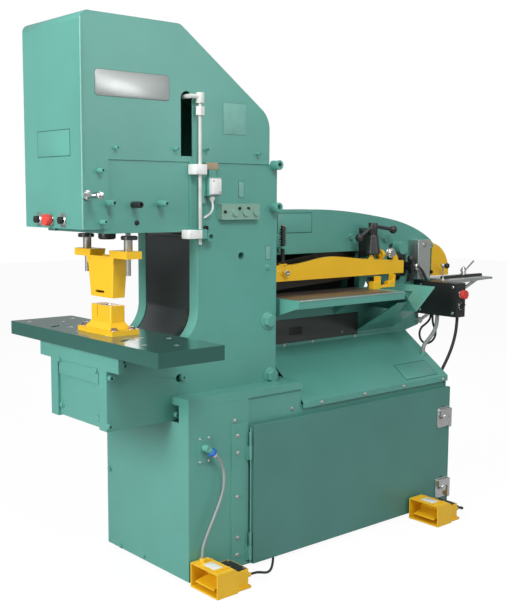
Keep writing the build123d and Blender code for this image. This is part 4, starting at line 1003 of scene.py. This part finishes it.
def addShearDetails(facts):
    chrome = looks["bright_steel"]
    addSpring(facts["spring"])
    addWindowShade(facts["guard"], facts["guardLip"])
    addPlate("tableWearPlate", facts["wearPlate"], wornSteel)
    scatter(socketHead, "barBolt", facts["barBolts"], near, "hold_down_bar", chrome, 1.3)
    scatter(
        hexHead, "barRollerBolt", facts["rollerBolts"], near, "hold_down_bar", chrome, 1.5,
    )
    # thin pale strip on the table's edge: painted highlight
    addSoftBlock("tableLip", *facts["lip"], 1.1, 3, paleSteel, "ground_steel")
    sleeve = placed(turned(facts["stud"]["rings"]), facts["stud"]["at"], up)
    finishPiece(sleeve, "studSleeve", "hold_down_bar", looks["black_paint"])
    addPlate("underTableShade", facts["shade"], shadeBrown)
    addPlate("framePlate", facts["plate"], boltBlack)


addShearDetails(shearFacts)
print("shear station")


# angle station: dark plate, bright bolts and the curved handle of the clamp

angleFacts = {
    "handle": [(722, -84, 1070), (746, -88, 1058), (764, -90, 1030), (782, -90, 1006), (800, -90, 984)],
    "handleRadius": 6,
    "bolts": [(646, -17.8, 1166), (600, -17.8, 1134)],
    "discAt": (724, housingNear, 1069),
    "discRings": [(17, -0.5), (18, 1), (18, 9), (16, 11), (9, 11), (8.4, 9.5)],
    "backing": {"size": (112, 150, 5), "corner": 10, "edge": 1, "at": (655, -17.6, 1100), "normal": near},
}


def addAngleDetails(facts):
    handle = bentRod("clampHandle", facts["handle"], facts["handleRadius"])
    finishPiece(handle, "clampHandle", "machine", looks["black_paint"])
    scatter(hexHead, "angleBolt", facts["bolts"], near, "machine", looks["bright_steel"], 1.5)
    disc = placed(turned(facts["discRings"], 36), facts["discAt"], near)
    finishPiece(disc, "clampDisc", "machine", looks["bright_steel"])
    addPlate("anglePlate", facts["backing"], looks["black_paint"])


addAngleDetails(angleFacts)
print("angle station")


# notcher: knob of the hand pin, table screws and the bolt of the guard

notcherFacts = {
    "knobAt": (940, notcherNear, 1064),
    "knobRings": [(3, -0.5), (6, 0.6), (11, 4), (13, 9), (13, 14), (11, 19), (6, 22.5), (2, 23.5)],
    "screws": [(830, notcherNear, 1040), (830, notcherNear, 900), (1000, notcherNear, 850)],
    "guardBolt": [(892, -22, 1160)],
}


def addNotcherDetails(facts):
    knob = placed(turned(facts["knobRings"], 32), facts["knobAt"], near)
    finishPiece(knob, "pinKnob", "machine", looks["black_plastic"])
    scatter(socketHead, "notcherScrew", facts["screws"], near, "machine", boltBlack)
    scatter(
        hexHead, "guardBolt", facts["guardBolt"], near, "notcher_guard", looks["bright_steel"],
        0.9,
    )


addNotcherDetails(notcherFacts)
print("notcher")


# door: dark plates of painted shade behind the latches, key rings on them, and a pale rod of painted
# highlight along the hinge edge

doorFacts = {
    "latches": {"Upper": 413, "Lower": 92},  # heights of the two spindles
    "latchX": 674,
    "plate": {"size": (44, 96, 1.6), "corner": 20, "edge": 0.6, "y": doorNear},
    "keyY": latchNear,
    "keyRings": [(15, -0.5), (15, 1.6), (13.4, 2.6), (11, 2.6)],
    "bead": [(-452, -286, 20), (-452.5, -287.5, 40), (-452.5, -287.5, 520), (-452, -286, 542)],
    "beadRadius": 1.8,
}


def addLatchDetails(name, z, facts):
    plate = facts["plate"] | {"at": (facts["latchX"], facts["plate"]["y"], z), "normal": near}
    addPlate(f"latchPlate{name}", plate, paintedShadeBlack)
    key = placed(turned(facts["keyRings"], 36), (facts["latchX"], facts["keyY"], z), near)
    finishPiece(key, f"latchKey{name}", f"door_latch_{name.lower()}", looks["bright_steel"])


for name, z in doorFacts["latches"].items():
    addLatchDetails(name, z, doorFacts)
print("latches")


# cable socket: blue ring and bright connector on the plug

socketFacts = {
    "plugEnd": (-636.2, -299.5, 477.1),
    "way": (21.7, 0, -20.7),
    "ringRings": [(13, -13), (16, -12), (16, -3), (13, -2)],
    "collarRings": [(11, -1), (12.5, 0), (12.5, 8), (8, 12), (6.4, 16)],
}


def addSocketDetails(facts):
    ring = placed(turned(facts["ringRings"], 32), facts["plugEnd"], facts["way"])
    finishPiece(ring, "plugRing", "machine", blueRing)
    collar = placed(turned(facts["collarRings"], 32), facts["plugEnd"], facts["way"])
    finishPiece(collar, "plugCollar", "machine", looks["bright_steel"])


addSocketDetails(socketFacts)
# pale rod along the door's hinge edge: painted highlight
doorBead = bentRod("doorBead", doorFacts["bead"], doorFacts["beadRadius"])
finishPiece(doorBead, "doorBead", "machine", labelPale)
print("cable socket and door edge highlight")


# pedals: lid of the switch case with its screws, bare patch and ribs on the shield

pedalFacts = {
    "corners": {"front": (-722, -430, 155), "rear": (444, -457, 157)},  # x, y and width of the shields
    "lid": {"length": 60, "narrower": 52, "x": 125, "z": 66},
    "patch": {"length": 40, "narrower": 90, "x": 40, "z": 90},
    "rib": {"size": (70, 5, 4), "x": 44, "z": 92, "shares": (-0.32, 0.32)},
    "screw": {"x": (104, 146), "inset": 34, "z": 69},
}


def addPedalDetails(side, corner, facts):
    x, y, width = corner
    middle = y + width / 2
    lid, patch, rib, screw = facts["lid"], facts["patch"], facts["rib"], facts["screw"]
    cover = roundedPlate(lid["length"], width - lid["narrower"], 3, 9, 1)
    placed(cover, (x + lid["x"], middle, lid["z"]), up)
    finishPiece(cover, f"{side}CaseLid", "machine", looks["black_plastic"])
    label = roundedPlate(patch["length"], width - patch["narrower"], 1, 3, 0.2)
    placed(label, (x + patch["x"], middle, patch["z"]), up)
    finishPiece(label, f"{side}PedalPatch", "machine", labelWhite)
    for number, share in enumerate(rib["shares"], 1):
        at = (x + rib["x"], middle + share * width, rib["z"])
        name = f"{side}PedalRib{number}"
        addSoftBlock(name, at, rib["size"], 1.6, 3, looks["yellow_paint"], "yellow_paint")
    rows = (y + screw["inset"], y + width - screw["inset"])
    places = [(x + across, row, screw["z"]) for row in rows for across in screw["x"]]
    scatter(
        panHead, f"{side}PedalScrew", places, up, "machine", looks["ground_steel"], 0.6,
    )


for side, corner in pedalFacts["corners"].items():
    addPedalDetails(side, corner, pedalFacts)
print("pedals")


# the templates have done their work
for template in (socketHead, hexHead, panHead, boss, pin, plug, holeRim):
    bpy.data.objects.remove(template)
